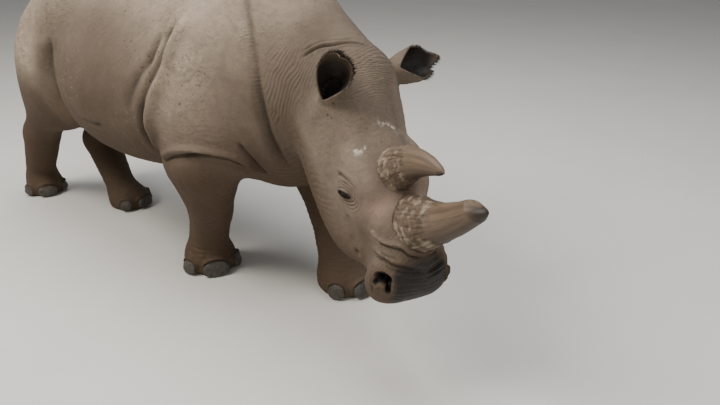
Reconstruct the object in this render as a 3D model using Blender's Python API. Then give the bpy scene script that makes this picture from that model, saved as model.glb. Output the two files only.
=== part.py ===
"""White rhinoceros cow, walking: a still, life-size model that stands on its own four feet.

Metres. +X runs to the head, +Y to the animal's left, +Z up, and the soles lie on Z = 0.
The body is one smooth form blended from named masses of flesh. It is built whole and then
parted by thin curved and flat cuts into head, neck, trunk and legs. Ears, eyes, horns, nails
and tail are shaped on their own and fitted to it.
"""

from math import cos, degrees, pi, radians, sin

import bmesh
import bpy
import numpy as np
from mathutils import Matrix, Vector

# ---------------------------------------------------------------- sizes
GAP = 0.0004              # clear distance between two pieces that touch
CUT = 0.0004              # thickness of a parting cut
VOXEL = 0.026             # grid of the first rough skin
FIRST_THINNING = 8200     # triangles of the whole body once the finest are gone
BODY_TRIANGLES = 3550     # and after all but the head is thinned again
CREASE = 48.0             # edges sharper than this, in degrees, stay crisp
HEAD_REACH = 0.60         # how far from the middle of the head counts as head

HEAD_AT = Vector((1.465, -0.189, 1.237))   # middle of the line between the ears
HEAD_YAW = -23.0                           # turned to the animal's right
HEAD_PITCH = 47.0                          # face sloping down
HEAD_ROLL = 1.0
HEAD_SCALE = 0.99

SOLE_FORE = (0.150, 0.138)   # half length and half width of a fore foot
SOLE_HIND = (0.128, 0.115)
FOOT_HEIGHT = 0.115

EYE_AT = (0.447, 0.150, -0.130)            # along the face, out, up
EYE_RADIUS = 0.022
EYE_SUNK = 0.55           # how far the middle of the eye lies under the face, in radii
NOSTRIL_AT = (0.812, 0.134, -0.142)
NOSTRIL_SIZE = (0.030, 0.036, 0.024)       # half sizes along the face, across, up

NAILS = {
    # toe: angle off the foot's heading, half width, half height
    "middle": (0.0, 0.056, 0.044), "inner": (58.0, 0.042, 0.038), "outer": (-58.0, 0.042, 0.038),
}
NAIL_DEPTH = 0.022
NAIL_CLEAR = 0.004        # height of a nail's lower edge above the ground

TAIL_PATH = ((-1.03, 0.00, 1.30), (-1.165, 0.00, 1.17), (-1.225, -0.02, 0.95), (-1.235, -0.05, 0.68))
TAIL_RADII = (0.055, 0.046, 0.034, 0.022)

# Each leg: the points its flesh runs through, from the body down, and the foot's heading.
LEGS = {
    "fore_right": {
        "side": -1, "fore": True, "turn": -28.0,
        "elbow": (0.55, -0.275, 0.70), "knee": (0.462, -0.192, 0.36), "ankle": (0.375, -0.158, 0.13),
        "foot": (0.364, -0.145),
    },
    "fore_left": {
        "side": 1, "fore": True, "turn": -8.0,
        "elbow": (0.78, 0.255, 0.70), "knee": (0.95, 0.185, 0.38), "ankle": (1.045, 0.150, 0.13),
        "foot": (1.085, 0.142),
    },
    "hind_right": {
        "side": -1, "fore": False, "turn": -22.0,
        "elbow": (-0.74, -0.265, 0.77), "knee": (-1.18, -0.200, 0.45), "ankle": (-1.345, -0.172, 0.14),
        "foot": (-1.335, -0.164),
    },
    "hind_left": {
        "side": 1, "fore": False, "turn": 16.0,
        "elbow": (-0.64, 0.255, 0.77), "knee": (-1.05, 0.125, 0.36), "ankle": (-0.79, 0.070, 0.12),
        "foot": (-0.690, 0.056),
    },
}


# ---------------------------------------------------------------- head frame
def head_axes():
    """Rows: along the face, to the animal's left, out of the forehead."""
    yaw, pitch, roll = radians(HEAD_YAW), radians(HEAD_PITCH), radians(HEAD_ROLL)
    along = Vector((cos(pitch) * cos(yaw), cos(pitch) * sin(yaw), -sin(pitch)))
    left = Vector((-sin(yaw), cos(yaw), 0.0))
    up = along.cross(left)
    return along, cos(roll) * left + sin(roll) * up, cos(roll) * up - sin(roll) * left


ALONG, LEFT, UP = head_axes()
HEAD_TURN = Matrix((ALONG, LEFT, UP)).transposed()


def on_head(along, left, up):
    """World point of a point measured on the head."""
    return HEAD_AT + HEAD_TURN @ (Vector((along, left, up)) * HEAD_SCALE)


# ---------------------------------------------------------------- masses
def ball(centre, radii, blend, pitch=0.0, yaw=0.0, roll=0.0):
    turn = (Matrix.Rotation(radians(yaw), 3, "Z") @ Matrix.Rotation(radians(pitch), 3, "Y")
            @ Matrix.Rotation(radians(roll), 3, "X"))
    return {"kind": "ball", "centre": Vector(centre), "radii": Vector(radii), "turn": turn, "blend": blend}


def limb(start, end, start_radius, end_radius, blend, flat=1.0, across=(0.0, 1.0, 0.0)):
    return {
        "kind": "limb", "start": Vector(start), "end": Vector(end),
        "radii": (start_radius, end_radius), "flat": flat, "across": Vector(across), "blend": blend,
    }


def head_ball(centre, radii, blend, pitch=0.0, yaw=0.0):
    mass = ball((0, 0, 0), [r * HEAD_SCALE for r in radii], blend, pitch, yaw)
    mass["centre"] = on_head(*centre)
    mass["turn"] = HEAD_TURN @ mass["turn"]
    return mass


def head_limb(start, end, start_radius, end_radius, blend, flat=1.0):
    return limb(on_head(*start), on_head(*end), start_radius * HEAD_SCALE, end_radius * HEAD_SCALE,
                blend, flat, LEFT)


def trunk_masses():
    masses = [
        ball((0.15, 0.0, 1.03), (0.80, 0.46, 0.47), 0.0),                  # ribs
        ball((-0.10, 0.0, 0.91), (0.70, 0.50, 0.415), 0.15),                # belly
        ball((-0.65, 0.0, 1.16), (0.44, 0.33, 0.38), 0.20),                # loin
        ball((-0.88, 0.0, 1.06), (0.25, 0.23, 0.33), 0.12),                # rump
        ball((0.52, 0.0, 1.34), (0.46, 0.18, 0.25), 0.20),                 # withers
        limb((0.25, 0.0, 1.41), (-0.80, 0.0, 1.38), 0.09, 0.09, 0.12),     # spine
        ball((0.84, 0.0, 0.85), (0.34, 0.27, 0.30), 0.12),                 # brisket
    ]
    for side in (-1, 1):
        masses.append(ball((0.60, 0.25 * side, 1.02), (0.30, 0.20, 0.42), 0.13, pitch=-12.0))  # shoulder
        masses.append(ball((-0.52, 0.25 * side, 1.31), (0.14, 0.10, 0.10), 0.16))              # hip bone
        masses.append(ball((-0.60, 0.235 * side, 0.76), (0.17, 0.12, 0.13), 0.09, pitch=20.0))   # web of the flank
    return masses


def neck_masses():
    return [
        limb((0.80, 0.0, 1.10), on_head(-0.02, 0.0, -0.22), 0.41, 0.235, 0.14, flat=0.82),
        limb((0.82, 0.0, 1.36), on_head(-0.06, 0.0, -0.13), 0.22, 0.09, 0.14),   # hump over the nape
    ]


def head_masses():
    masses = [
        head_ball((0.08, 0.0, -0.17), (0.22, 0.17, 0.17), 0.10),                   # braincase
        head_limb((-0.01, -0.09, -0.08), (-0.01, 0.09, -0.08), 0.06, 0.06, 0.08),  # crest between the ears
        head_limb((0.0, 0.0, -0.14), (0.42, 0.0, -0.13), 0.14, 0.13, 0.08),        # forehead
        head_limb((0.38, 0.0, -0.13), (0.74, 0.0, -0.14), 0.125, 0.115, 0.08),     # bridge of the nose
        head_limb((0.24, 0.0, -0.36), (0.74, 0.0, -0.31), 0.14, 0.098, 0.08),      # lower jaw
        head_ball((0.67, 0.0, -0.060), (0.14, 0.10, 0.08), 0.05),                  # boss under the front horn
        head_ball((0.45, 0.0, -0.065), (0.11, 0.085, 0.06), 0.05),                 # boss under the rear horn
        head_limb((0.80, -0.060, -0.195), (0.80, 0.060, -0.195), 0.096, 0.096, 0.07),    # muzzle
        head_limb((0.80, -0.072, -0.265), (0.80, 0.072, -0.265), 0.074, 0.074, 0.05),    # upper lip
        head_limb((0.775, -0.062, -0.335), (0.775, 0.062, -0.335), 0.052, 0.052, 0.025), # lower lip
    ]
    for side in (-1, 1):
        masses.append(head_ball((0.22, 0.090 * side, -0.31), (0.25, 0.116, 0.21), 0.08, yaw=-4.0 * side))  # cheek
        masses.append(head_ball((0.45, 0.085 * side, -0.17), (0.14, 0.085, 0.10), 0.06))                   # eye socket
        masses.append(head_ball((0.43, 0.086 * side, -0.38), (0.22, 0.097, 0.13), 0.07))                   # jowl
        masses.append(head_ball((0.40, 0.125 * side, -0.085), (0.10, 0.05, 0.05), 0.05))                   # brow
        masses.append(head_ball((0.79, 0.115 * side, -0.165), (0.055, 0.035, 0.045), 0.03))                # nostril wing
    return masses


def leg_masses(leg):
    elbow, knee, ankle = (Vector(leg[name]) for name in ("elbow", "knee", "ankle"))
    side = leg["side"]
    if leg["fore"]:
        top = elbow + Vector((0.03, -0.02 * side, 0.18))
        masses = [
            limb(top, elbow, 0.23, 0.195, 0.06, flat=0.85),
            limb(elbow, knee, 0.190, 0.104, 0.05),
            limb(knee, ankle, 0.104, 0.104, 0.04),
        ]
        length, width = SOLE_FORE
    else:
        masses = [
            ball((-0.79, 0.220 * side, 0.94), (0.34, 0.20, 0.40), 0.08, pitch=24.0),
            limb(elbow + Vector((-0.05, -0.02 * side, 0.10)), knee, 0.175, 0.108, 0.10, flat=0.88),
            limb(knee, ankle, 0.110, 0.088, 0.04),
        ]
        length, width = SOLE_HIND
    foot = Vector((leg["foot"][0], leg["foot"][1], 0.045))
    masses.append(ball(foot, (length, width, FOOT_HEIGHT), 0.06, yaw=leg["turn"]))
    for angle, half_width, _ in NAILS.values():
        heading = radians(leg["turn"] + angle * side)
        out = 0.62 * (length if angle == 0.0 else width)
        toe = foot + Vector((cos(heading), sin(heading), 0.0)) * out
        toe.z = 0.044
        size = half_width * (length / SOLE_FORE[0])
        masses.append(ball(toe, (length - out + 0.008, size + 0.010, 0.056), 0.03, yaw=degrees(heading)))
    return masses


def all_masses():
    masses = trunk_masses() + neck_masses() + head_masses()
    for leg in LEGS.values():
        masses += leg_masses(leg)
    return masses


# ---------------------------------------------------------------- the blended form
def ball_distance(points, mass):
    local = (points - np.array(mass["centre"])) @ np.array(mass["turn"])
    radii = np.array(mass["radii"])
    near = np.sqrt(((local / radii) ** 2).sum(1)) + 1e-9
    slope = np.sqrt(((local / radii ** 2) ** 2).sum(1)) + 1e-9
    return near * (near - 1.0) / slope


def limb_distance(points, mass):
    start, end = np.array(mass["start"]), np.array(mass["end"])
    length = np.linalg.norm(end - start)
    axis = (end - start) / length
    along = (points - start) @ axis
    away = points - start - along[:, None] * axis
    across = np.array(mass["across"])
    away = away + np.outer(away @ across, across) * (1.0 / mass["flat"] - 1.0)
    away = np.sqrt((away * away).sum(1))
    first, last = mass["radii"]
    taper = (first - last) / length
    lean = np.sqrt(1.0 - taper * taper)
    foot = along * lean - away * taper          # where the point falls along the tapered side
    side = away * lean + along * taper - first
    start_cap = np.sqrt(away * away + along * along) - first
    end_cap = np.sqrt(away * away + (along - length) ** 2) - last
    return np.where(foot < 0.0, start_cap, np.where(foot > lean * length, end_cap, side))


def mass_distance(points, mass):
    return ball_distance(points, mass) if mass["kind"] == "ball" else limb_distance(points, mass)


def blended(first, second, reach):
    """Smaller of two distances, rounded where they are within reach of each other."""
    if reach <= 0.0:
        return np.minimum(first, second)
    near = np.maximum(reach - np.abs(first - second), 0.0) / reach
    return np.minimum(first, second) - near * near * reach * 0.25


def flesh(points, masses):
    """Signed distance to the body's surface, less than zero inside."""
    distance = mass_distance(points, masses[0])
    for mass in masses[1:]:
        distance = blended(distance, mass_distance(points, mass), mass["blend"])
    return -blended(-distance, points[:, 2], 0.012)


def pulled_onto_form(points, masses, steps=3):
    """Points moved along the form's own slope until they lie on its surface."""
    reach = 0.002
    for _ in range(steps):
        value = flesh(points, masses)
        slope = np.empty_like(points)
        for axis in range(3):
            shift = np.zeros(3)
            shift[axis] = reach
            slope[:, axis] = (flesh(points + shift, masses) - flesh(points - shift, masses)) / (2.0 * reach)
        steep = np.maximum((slope * slope).sum(1), 0.25)
        points = points - slope * (value / steep)[:, None]
    return points


def surface_point(start, aim, masses):
    """Where a line from start towards aim first meets the body, and the way out there."""
    start, aim = np.array(start), np.array(aim)
    for share in np.linspace(0.0, 1.0, 200):
        point = start + (aim - start) * share
        if flesh(point[None, :], masses)[0] < 0.0:
            break
    reach = 0.004
    out = np.array([
        flesh((point + shift)[None, :], masses)[0] - flesh((point - shift)[None, :], masses)[0]
        for shift in np.eye(3) * reach
    ])
    return Vector(point), Vector(out).normalized()


# ---------------------------------------------------------------- Blender helpers
def clear_scene():
    for item in list(bpy.data.objects):
        bpy.data.objects.remove(item, do_unlink=True)


def material(name, colour, roughness):
    made = bpy.data.materials.new(name)
    made.use_nodes = True
    shader = made.node_tree.nodes["Principled BSDF"]
    shader.inputs["Base Color"].default_value = (*colour, 1.0)
    shader.inputs["Roughness"].default_value = roughness
    shader.inputs["Metallic"].default_value = 0.0
    return made


def object_from(name, form):
    """Object from a bmesh, with its faces turned outwards."""
    bmesh.ops.recalc_face_normals(form, faces=form.faces)
    mesh = bpy.data.meshes.new(name)
    form.to_mesh(mesh)
    form.free()
    made = bpy.data.objects.new(name, mesh)
    bpy.context.scene.collection.objects.link(made)
    return made


def evaluated(item):
    """The object's mesh with its modifiers applied."""
    graph = bpy.context.evaluated_depsgraph_get()
    graph.update()
    mesh = bpy.data.meshes.new_from_object(item.evaluated_get(graph))
    old = item.data
    item.modifiers.clear()
    item.data = mesh
    bpy.data.meshes.remove(old)
    return item


def cut(item, cutter, keep_cutter=False):
    """Takes the cutter's shape out of the item."""
    change = item.modifiers.new("cut", "BOOLEAN")
    change.operation = "DIFFERENCE"
    change.solver = "EXACT"
    change.object = cutter
    evaluated(item)
    if not keep_cutter:
        bpy.data.objects.remove(cutter, do_unlink=True)
    return item


def loft(name, rings, close_start=True, close_end=True):
    """Skin over rings of points that all have the same count."""
    form = bmesh.new()
    rows = [[form.verts.new(point) for point in ring] for ring in rings]
    count = len(rows[0])
    for first, second in zip(rows, rows[1:]):
        for i in range(count):
            j = (i + 1) % count
            form.faces.new((first[i], first[j], second[j], second[i]))
    if close_start:
        form.faces.new(rows[0][::-1])
    if close_end:
        form.faces.new(rows[-1])
    return object_from(name, form)


def oval(centre, wide, deep, half_width, half_depth, count):
    """Ring of points on an ellipse spanned by the directions wide and deep."""
    return [
        centre + wide * (half_width * cos(2 * pi * i / count)) + deep * (half_depth * sin(2 * pi * i / count))
        for i in range(count)
    ]


# ---------------------------------------------------------------- the body
def rough_body(masses):
    """All masses as plain balls and tapered limbs, fused by a voxel remesh."""
    form = bmesh.new()
    for mass in masses:
        if mass["kind"] == "ball":
            place = (Matrix.Translation(mass["centre"]) @ mass["turn"].to_4x4()
                     @ Matrix.Diagonal(mass["radii"]).to_4x4())
            bmesh.ops.create_icosphere(form, subdivisions=3, radius=1.0, matrix=place)
            continue
        axis = mass["end"] - mass["start"]
        turn = axis.to_track_quat("Z", "Y").to_matrix().to_4x4()
        middle = Matrix.Translation((mass["start"] + mass["end"]) * 0.5)
        first, last = mass["radii"]
        flat = mass["flat"]
        bmesh.ops.create_cone(form, segments=20, radius1=first * flat, radius2=last * flat,
                              depth=axis.length, cap_ends=True, matrix=middle @ turn)
        for point, radius in ((mass["start"], first), (mass["end"], last)):
            bmesh.ops.create_icosphere(form, subdivisions=2, radius=radius * flat,
                                       matrix=Matrix.Translation(point))
    body = object_from("body", form)
    remesh = body.modifiers.new("fuse", "REMESH")
    remesh.mode = "VOXEL"
    remesh.voxel_size = VOXEL
    return evaluated(body)


def relax(mesh, rounds):
    """Evens out the spacing of the points."""
    form = bmesh.new()
    form.from_mesh(mesh)
    for _ in range(rounds):
        bmesh.ops.smooth_vert(form, verts=form.verts, factor=0.5, use_axis_x=True, use_axis_y=True,
                              use_axis_z=True)
    form.to_mesh(mesh)
    form.free()


def set_points(mesh, points):
    mesh.vertices.foreach_set("co", points.ravel())
    mesh.update()


def points_of(mesh):
    points = np.empty(len(mesh.vertices) * 3)
    mesh.vertices.foreach_get("co", points)
    return points.reshape(-1, 3)


def thinned(item, triangles, group=""):
    """Fewer triangles, where a vertex group allows it."""
    item.data.calc_loop_triangles()
    thin = item.modifiers.new("thin", "DECIMATE")
    thin.ratio = triangles / len(item.data.loop_triangles)
    thin.vertex_group = group
    thin.use_collapse_triangulate = True
    evaluated(item)


def whole_body(masses):
    """The body in one piece, pulled onto the blended form and thinned where it is plain."""
    body = rough_body(masses)
    for _ in range(3):
        relax(body.data, 2)
        set_points(body.data, pulled_onto_form(points_of(body.data), masses))
    thinned(body, FIRST_THINNING)
    plain = body.vertex_groups.new(name="plain")
    far = [i for i, point in enumerate(points_of(body.data))
           if (Vector(point) - on_head(0.45, 0.0, -0.2)).length > HEAD_REACH]
    plain.add(far, 1.0, "REPLACE")
    thinned(body, BODY_TRIANGLES, "plain")
    soles_flat(body.data)
    return body


def soles_flat(mesh):
    """Brings what nearly touches the ground exactly onto it."""
    points = points_of(mesh)
    points[points[:, 2] < 0.006, 2] = 0.0
    set_points(mesh, points)


def puffed(body, name):
    """Copy of the body pushed outwards by the gap, to trim what sits on it."""
    copy = body.copy()
    copy.data = body.data.copy()
    copy.name = name
    bpy.context.scene.collection.objects.link(copy)
    form = bmesh.new()
    form.from_mesh(copy.data)
    form.normal_update()
    places = []
    for vert in form.verts:
        facing = min(vert.normal.dot(face.normal) for face in vert.link_faces)
        places.append(vert.co + vert.normal * (GAP / max(facing, 0.25)))
    for vert, place in zip(form.verts, places):
        vert.co = place
    form.to_mesh(copy.data)
    form.free()
    return copy


def slab(point, normal, width, height):
    """Thin flat cutter square to the normal."""
    form = bmesh.new()
    bmesh.ops.create_cube(form, size=1.0)
    across = Vector((0.0, 1.0, 0.0))
    normal = normal.normalized()
    across = (across - normal * across.dot(normal)).normalized()
    tall = normal.cross(across)
    turn = Matrix((normal, across, tall)).transposed().to_4x4()
    size = Matrix.Diagonal((CUT, width, height, 1.0))
    bmesh.ops.transform(form, matrix=Matrix.Translation(point) @ turn @ size, verts=form.verts)
    return object_from("slab", form)


def dome(centre, radii, skirt):
    """Thin domed cutter with a leaning skirt, open below, that frees a leg with its muscle."""
    centre = Vector(centre)
    form = bmesh.new()
    shells = []
    for grow in (CUT / 2, -CUT / 2):
        rows = []
        for k in range(1, DOME_ROWS + 1):
            bend = radians(90.0 * k / DOME_ROWS)
            rows.append([
                form.verts.new(centre + Vector((
                    (radii[0] + grow) * sin(bend) * cos(2 * pi * i / DOME_SIDES),
                    (radii[1] + grow) * sin(bend) * sin(2 * pi * i / DOME_SIDES),
                    (radii[2] + grow) * cos(bend),
                ))) for i in range(DOME_SIDES)
            ])
        rows.append([form.verts.new(vert.co + Vector(skirt)) for vert in rows[-1]])
        top = form.verts.new(centre + Vector((0.0, 0.0, radii[2] + grow)))
        for i in range(DOME_SIDES):
            form.faces.new((top, rows[0][i], rows[0][(i + 1) % DOME_SIDES]))
        for first, second in zip(rows, rows[1:]):
            for i in range(DOME_SIDES):
                j = (i + 1) % DOME_SIDES
                form.faces.new((first[i], second[i], second[j], first[j]))
        shells.append(rows[-1])
    for i in range(DOME_SIDES):
        j = (i + 1) % DOME_SIDES
        form.faces.new((shells[0][i], shells[1][i], shells[1][j], shells[0][j]))
    return object_from("dome", form)


DOME_SIDES = 16
DOME_ROWS = 4
DOMES = {
    # middle, radii, and the way its skirt falls
    "leg_fore_right": ((0.50, -0.300, 0.72), (0.29, 0.24, 0.32), (-0.01, 0.02, -0.30)),
    "leg_fore_left": ((0.79, 0.290, 0.72), (0.27, 0.23, 0.30), (0.12, -0.03, -0.30)),
    "leg_hind_right": ((-0.83, -0.330, 0.92), (0.38, 0.23, 0.42), (-0.19, 0.085, -0.50)),
    "leg_hind_left": ((-0.80, 0.330, 0.92), (0.38, 0.23, 0.42), (-0.10, -0.155, -0.50)),
}


def part_body(body):
    """Cuts the whole body into its named parts."""
    for centre, radii, skirt in DOMES.values():
        cut(body, dome(centre, radii, skirt))
    cut(body, slab(Vector((1.018, 0.0, 1.16)), Vector((0.982, 0.0, 0.189)), 1.3, 1.10))
    behind_ears = on_head(-0.065, 0.0, 0.0)
    throat = on_head(0.050, 0.0, -0.55)
    normal = (throat - behind_ears).cross(LEFT)
    cut(body, slab((behind_ears + throat) * 0.5, normal, 0.9, 0.95))
    bpy.context.view_layer.objects.active = body
    body.select_set(True)
    bpy.ops.object.mode_set(mode="EDIT")
    bpy.ops.mesh.separate(type="LOOSE")
    bpy.ops.object.mode_set(mode="OBJECT")
    return [item for item in bpy.context.scene.objects if item.name.startswith("body")]


def middle_of(item):
    points = points_of(item.data)
    return Vector((points.min(0) + points.max(0)) * 0.5)


def name_parts(pieces):
    seeds = {
        "trunk": Vector((0.0, 0.0, 1.0)),
        "neck": Vector((1.15, -0.05, 1.15)),
        "head": on_head(0.45, 0.0, -0.2),
    }
    for name, leg in LEGS.items():
        fore_or_hind, side = name.split("_")
        middle = (Vector(leg["elbow"]) + Vector((*leg["foot"], 0.0))) * 0.5
        seeds["leg_" + fore_or_hind + "_" + side] = middle
    if len(pieces) != len(seeds):
        raise RuntimeError("the cuts left %d pieces, not %d" % (len(pieces), len(seeds)))
    named = {}
    for name, seed in seeds.items():
        nearest = min(pieces, key=lambda item: (middle_of(item) - seed).length)
        pieces = [item for item in pieces if item is not nearest]
        named[name] = nearest
    for name, item in named.items():
        item.name = name
        item.data.name = name
    return named


# ---------------------------------------------------------------- horns
FRONT_HORN = {
    "base": (0.652, 0.0, -0.018), "length": 0.475, "lean": 25.0, "bend": -20.0, "slant": 0.034,
    # share of the length, half length along the face, half width
    "girth": ((0.0, 0.106, 0.086), (0.12, 0.104, 0.085), (0.20, 0.097, 0.081), (0.34, 0.080, 0.071),
              (0.55, 0.063, 0.058), (0.78, 0.052, 0.048), (0.92, 0.044, 0.040), (1.0, 0.024, 0.022)),
}
REAR_HORN = {
    "base": (0.442, 0.0, -0.025), "length": 0.375, "lean": 2.0, "bend": 46.0, "slant": 0.0,
    "girth": ((0.0, 0.088, 0.080), (0.13, 0.086, 0.078), (0.26, 0.075, 0.064), (0.42, 0.062, 0.052),
              (0.60, 0.050, 0.041), (0.78, 0.035, 0.028), (0.92, 0.020, 0.016), (1.0, 0.005, 0.005)),
}


def horn(name, sizes, around=12, stations=10):
    """Tapered horn whose lean changes steadily from foot to tip, with a worn, slanting end."""
    shares = [row[0] for row in sizes["girth"]]
    along_sizes = [row[1] for row in sizes["girth"]]
    wide_sizes = [row[2] for row in sizes["girth"]]
    point = on_head(*sizes["base"])
    step = sizes["length"] * HEAD_SCALE / (stations - 1)
    rings = []
    for i in range(stations):
        share = i / (stations - 1)
        tilt = radians(sizes["lean"] + sizes["bend"] * share)
        rise = UP * cos(tilt) + ALONG * sin(tilt)
        forward = ALONG * cos(tilt) - UP * sin(tilt)
        half_long = np.interp(share, shares, along_sizes) * HEAD_SCALE
        half_wide = np.interp(share, shares, wide_sizes) * HEAD_SCALE
        slant = sizes["slant"] * max(0.0, share - 0.84) / 0.16
        rings.append(oval(point, forward + rise * (slant / half_long), LEFT, half_long, half_wide, around))
        point = point + rise * step
    return loft(name, rings)


# ---------------------------------------------------------------- ears
EARS = {
    # root on the head, way the ear points, way its opening faces; all along the face, left, up
    "ear_right": ((0.072, -0.146, -0.090), (-0.12, -0.05, 0.92), (0.75, -1.05, 0.30)),
    "ear_left": ((0.008, 0.092, -0.070), (-0.15, 1.00, 0.12), (0.25, 0.00, 1.00)),
}
EAR_LENGTH = {"ear_right": 0.280, "ear_left": 0.300}
EAR_WALL = 0.010
EAR_OUTLINES = {     # share of the length, half width, half depth
    "ear_right": ((0.0, 0.036, 0.040), (0.20, 0.036, 0.044), (0.40, 0.052, 0.060), (0.60, 0.072, 0.074),
                  (0.80, 0.074, 0.074), (0.92, 0.052, 0.056), (1.0, 0.018, 0.020)),
    "ear_left": ((0.0, 0.044, 0.044), (0.20, 0.048, 0.050), (0.40, 0.066, 0.064), (0.60, 0.076, 0.072),
                 (0.80, 0.066, 0.060), (1.0, 0.018, 0.020)),
}
EAR_NOTCH = {"ear_right": 0.18, "ear_left": 0.30}     # where the opening begins, as a share of the length
EAR_FLOOR = {"ear_right": 0.15, "ear_left": 0.22}     # how deep the hollow goes
EAR_TORN = {"ear_left": 6}    # point of the rim where an old tear bites in
EAR_TEAR = 0.070          # depth of that tear, as a share of the length


def ear(name, around=16):
    root, points_to, faces_to = (Vector(value) for value in EARS[name])
    axis = (HEAD_TURN @ points_to).normalized()
    front = HEAD_TURN @ faces_to
    front = (front - axis * front.dot(axis)).normalized()
    side = axis.cross(front)
    origin = on_head(*root)
    shares, widths, depths = zip(*EAR_OUTLINES[name])
    notch, floor = EAR_NOTCH[name], EAR_FLOOR[name]
    torn = 2 * pi * EAR_TORN.get(name, -1) / around

    def rim(angle):
        rounded = (0.5 - 0.5 * cos(angle)) ** 0.75
        pointed = 1.0 - abs(angle - pi) / pi
        bite = EAR_TEAR if abs(angle - torn) < 0.01 else 0.0
        return notch + (1.0 - notch) * (0.6 * rounded + 0.4 * pointed) - bite

    def wall_point(angle, share, inset):
        half_width = np.interp(share, shares, widths) - inset
        half_depth = np.interp(share, shares, depths) - inset
        cupped = 0.030 * share * share
        return (origin + axis * (share * EAR_LENGTH[name]) + side * (half_width * sin(angle))
                + front * (half_depth * cos(angle) + cupped))

    angles = [2 * pi * i / around for i in range(around)]
    rings = []
    for level in (0.0, 0.2, 0.4, 0.6, 0.8, 1.0):
        rings.append([wall_point(angle, rim(angle) * level, 0.0) for angle in angles])
    for level in (1.0, 0.75, 0.5, 0.25, 0.0):
        rings.append([
            wall_point(angle, floor + (rim(angle) - 0.015 - floor) * level, EAR_WALL)
            for angle in angles
        ])
    return loft(name, rings)


# ---------------------------------------------------------------- eyes, nails, tail
def eye_place(side, masses):
    start = on_head(EYE_AT[0], (EYE_AT[1] + 0.12) * side, EYE_AT[2])
    aim = on_head(EYE_AT[0], 0.0, EYE_AT[2])
    point, out = surface_point(start, aim, masses)
    return point - out * (EYE_RADIUS * EYE_SUNK)


def sphere(name, centre, radius):
    form = bmesh.new()
    bmesh.ops.create_uvsphere(form, u_segments=12, v_segments=7, radius=radius,
                              matrix=Matrix.Translation(centre))
    return object_from(name, form)


def nostril(side):
    """Slanting hollow on the corner of the muzzle, as a cutter."""
    form = bmesh.new()
    bmesh.ops.create_uvsphere(form, u_segments=8, v_segments=6, radius=1.0)
    hole = on_head(NOSTRIL_AT[0], NOSTRIL_AT[1] * side, NOSTRIL_AT[2])
    turn = HEAD_TURN @ Matrix.Rotation(radians(-35.0 * side), 3, "Z")
    size = Matrix.Diagonal(Vector(NOSTRIL_SIZE) * HEAD_SCALE).to_4x4()
    bmesh.ops.transform(form, matrix=Matrix.Translation(hole) @ turn.to_4x4() @ size, verts=form.verts)
    return object_from("nostril", form)


def nail(name, leg, toe, masses):
    """Rounded nail laid on the front of a toe."""
    angle, half_width, half_height = NAILS[toe]
    share = 1.0 if leg["fore"] else 0.84
    heading = radians(leg["turn"] + angle * leg["side"])
    ahead = Vector((cos(heading), sin(heading), 0.0))
    middle = Vector((leg["foot"][0], leg["foot"][1], 0.042))
    point, _ = surface_point(middle + ahead * 0.30, middle, masses)
    form = bmesh.new()
    size = Matrix.Diagonal((NAIL_DEPTH, half_width * share, half_height * share, 1.0))
    turn = Matrix.Rotation(heading, 4, "Z") @ Matrix.Rotation(radians(-14.0), 4, "Y")
    place = Matrix.Translation(point - ahead * 0.008) @ turn @ size
    bmesh.ops.create_uvsphere(form, u_segments=8, v_segments=6, radius=1.0, matrix=place)
    geometry = list(form.verts) + list(form.edges) + list(form.faces)
    sliced = bmesh.ops.bisect_plane(form, geom=geometry, plane_co=(0.0, 0.0, NAIL_CLEAR),
                                    plane_no=(0.0, 0.0, -1.0), clear_outer=True)
    rim = [edge for edge in sliced["geom_cut"] if isinstance(edge, bmesh.types.BMEdge)]
    if rim:
        bmesh.ops.edgeloop_fill(form, edges=rim)
    return object_from(name, form)


def along_path(points, share):
    """Point on a smooth curve through the given points."""
    spans = len(points) - 1
    place = min(share * spans, spans - 1e-6)
    i = int(place)
    t = place - i
    first, second = Vector(points[i]), Vector(points[i + 1])
    before = Vector(points[i - 1]) if i > 0 else first * 2 - second
    after = Vector(points[i + 2]) if i + 2 <= spans else second * 2 - first
    return 0.5 * (2 * first + (second - before) * t + (2 * before - 5 * first + 4 * second - after) * t * t
                  + (3 * first - before - 3 * second + after) * t ** 3)


def tail(stations=10, around=8):
    """Tapered tail that ends in a flat tuft."""
    rings = []
    for i in range(stations):
        share = i / (stations - 1)
        radius = np.interp(share, np.linspace(0.0, 1.0, len(TAIL_RADII)), TAIL_RADII)
        tuft = max(0.0, share - 0.72) / 0.28
        long_half = radius + 0.030 * sin(pi * min(tuft, 0.80)) if tuft > 0 else radius
        wide_half = radius * (1.0 - 0.35 * tuft)
        centre = along_path(TAIL_PATH, share)
        rings.append(oval(centre, Vector((1.0, 0.0, 0.0)), Vector((0.0, 1.0, 0.0)), long_half, wide_half, around))
    return loft("tail", rings)


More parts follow.
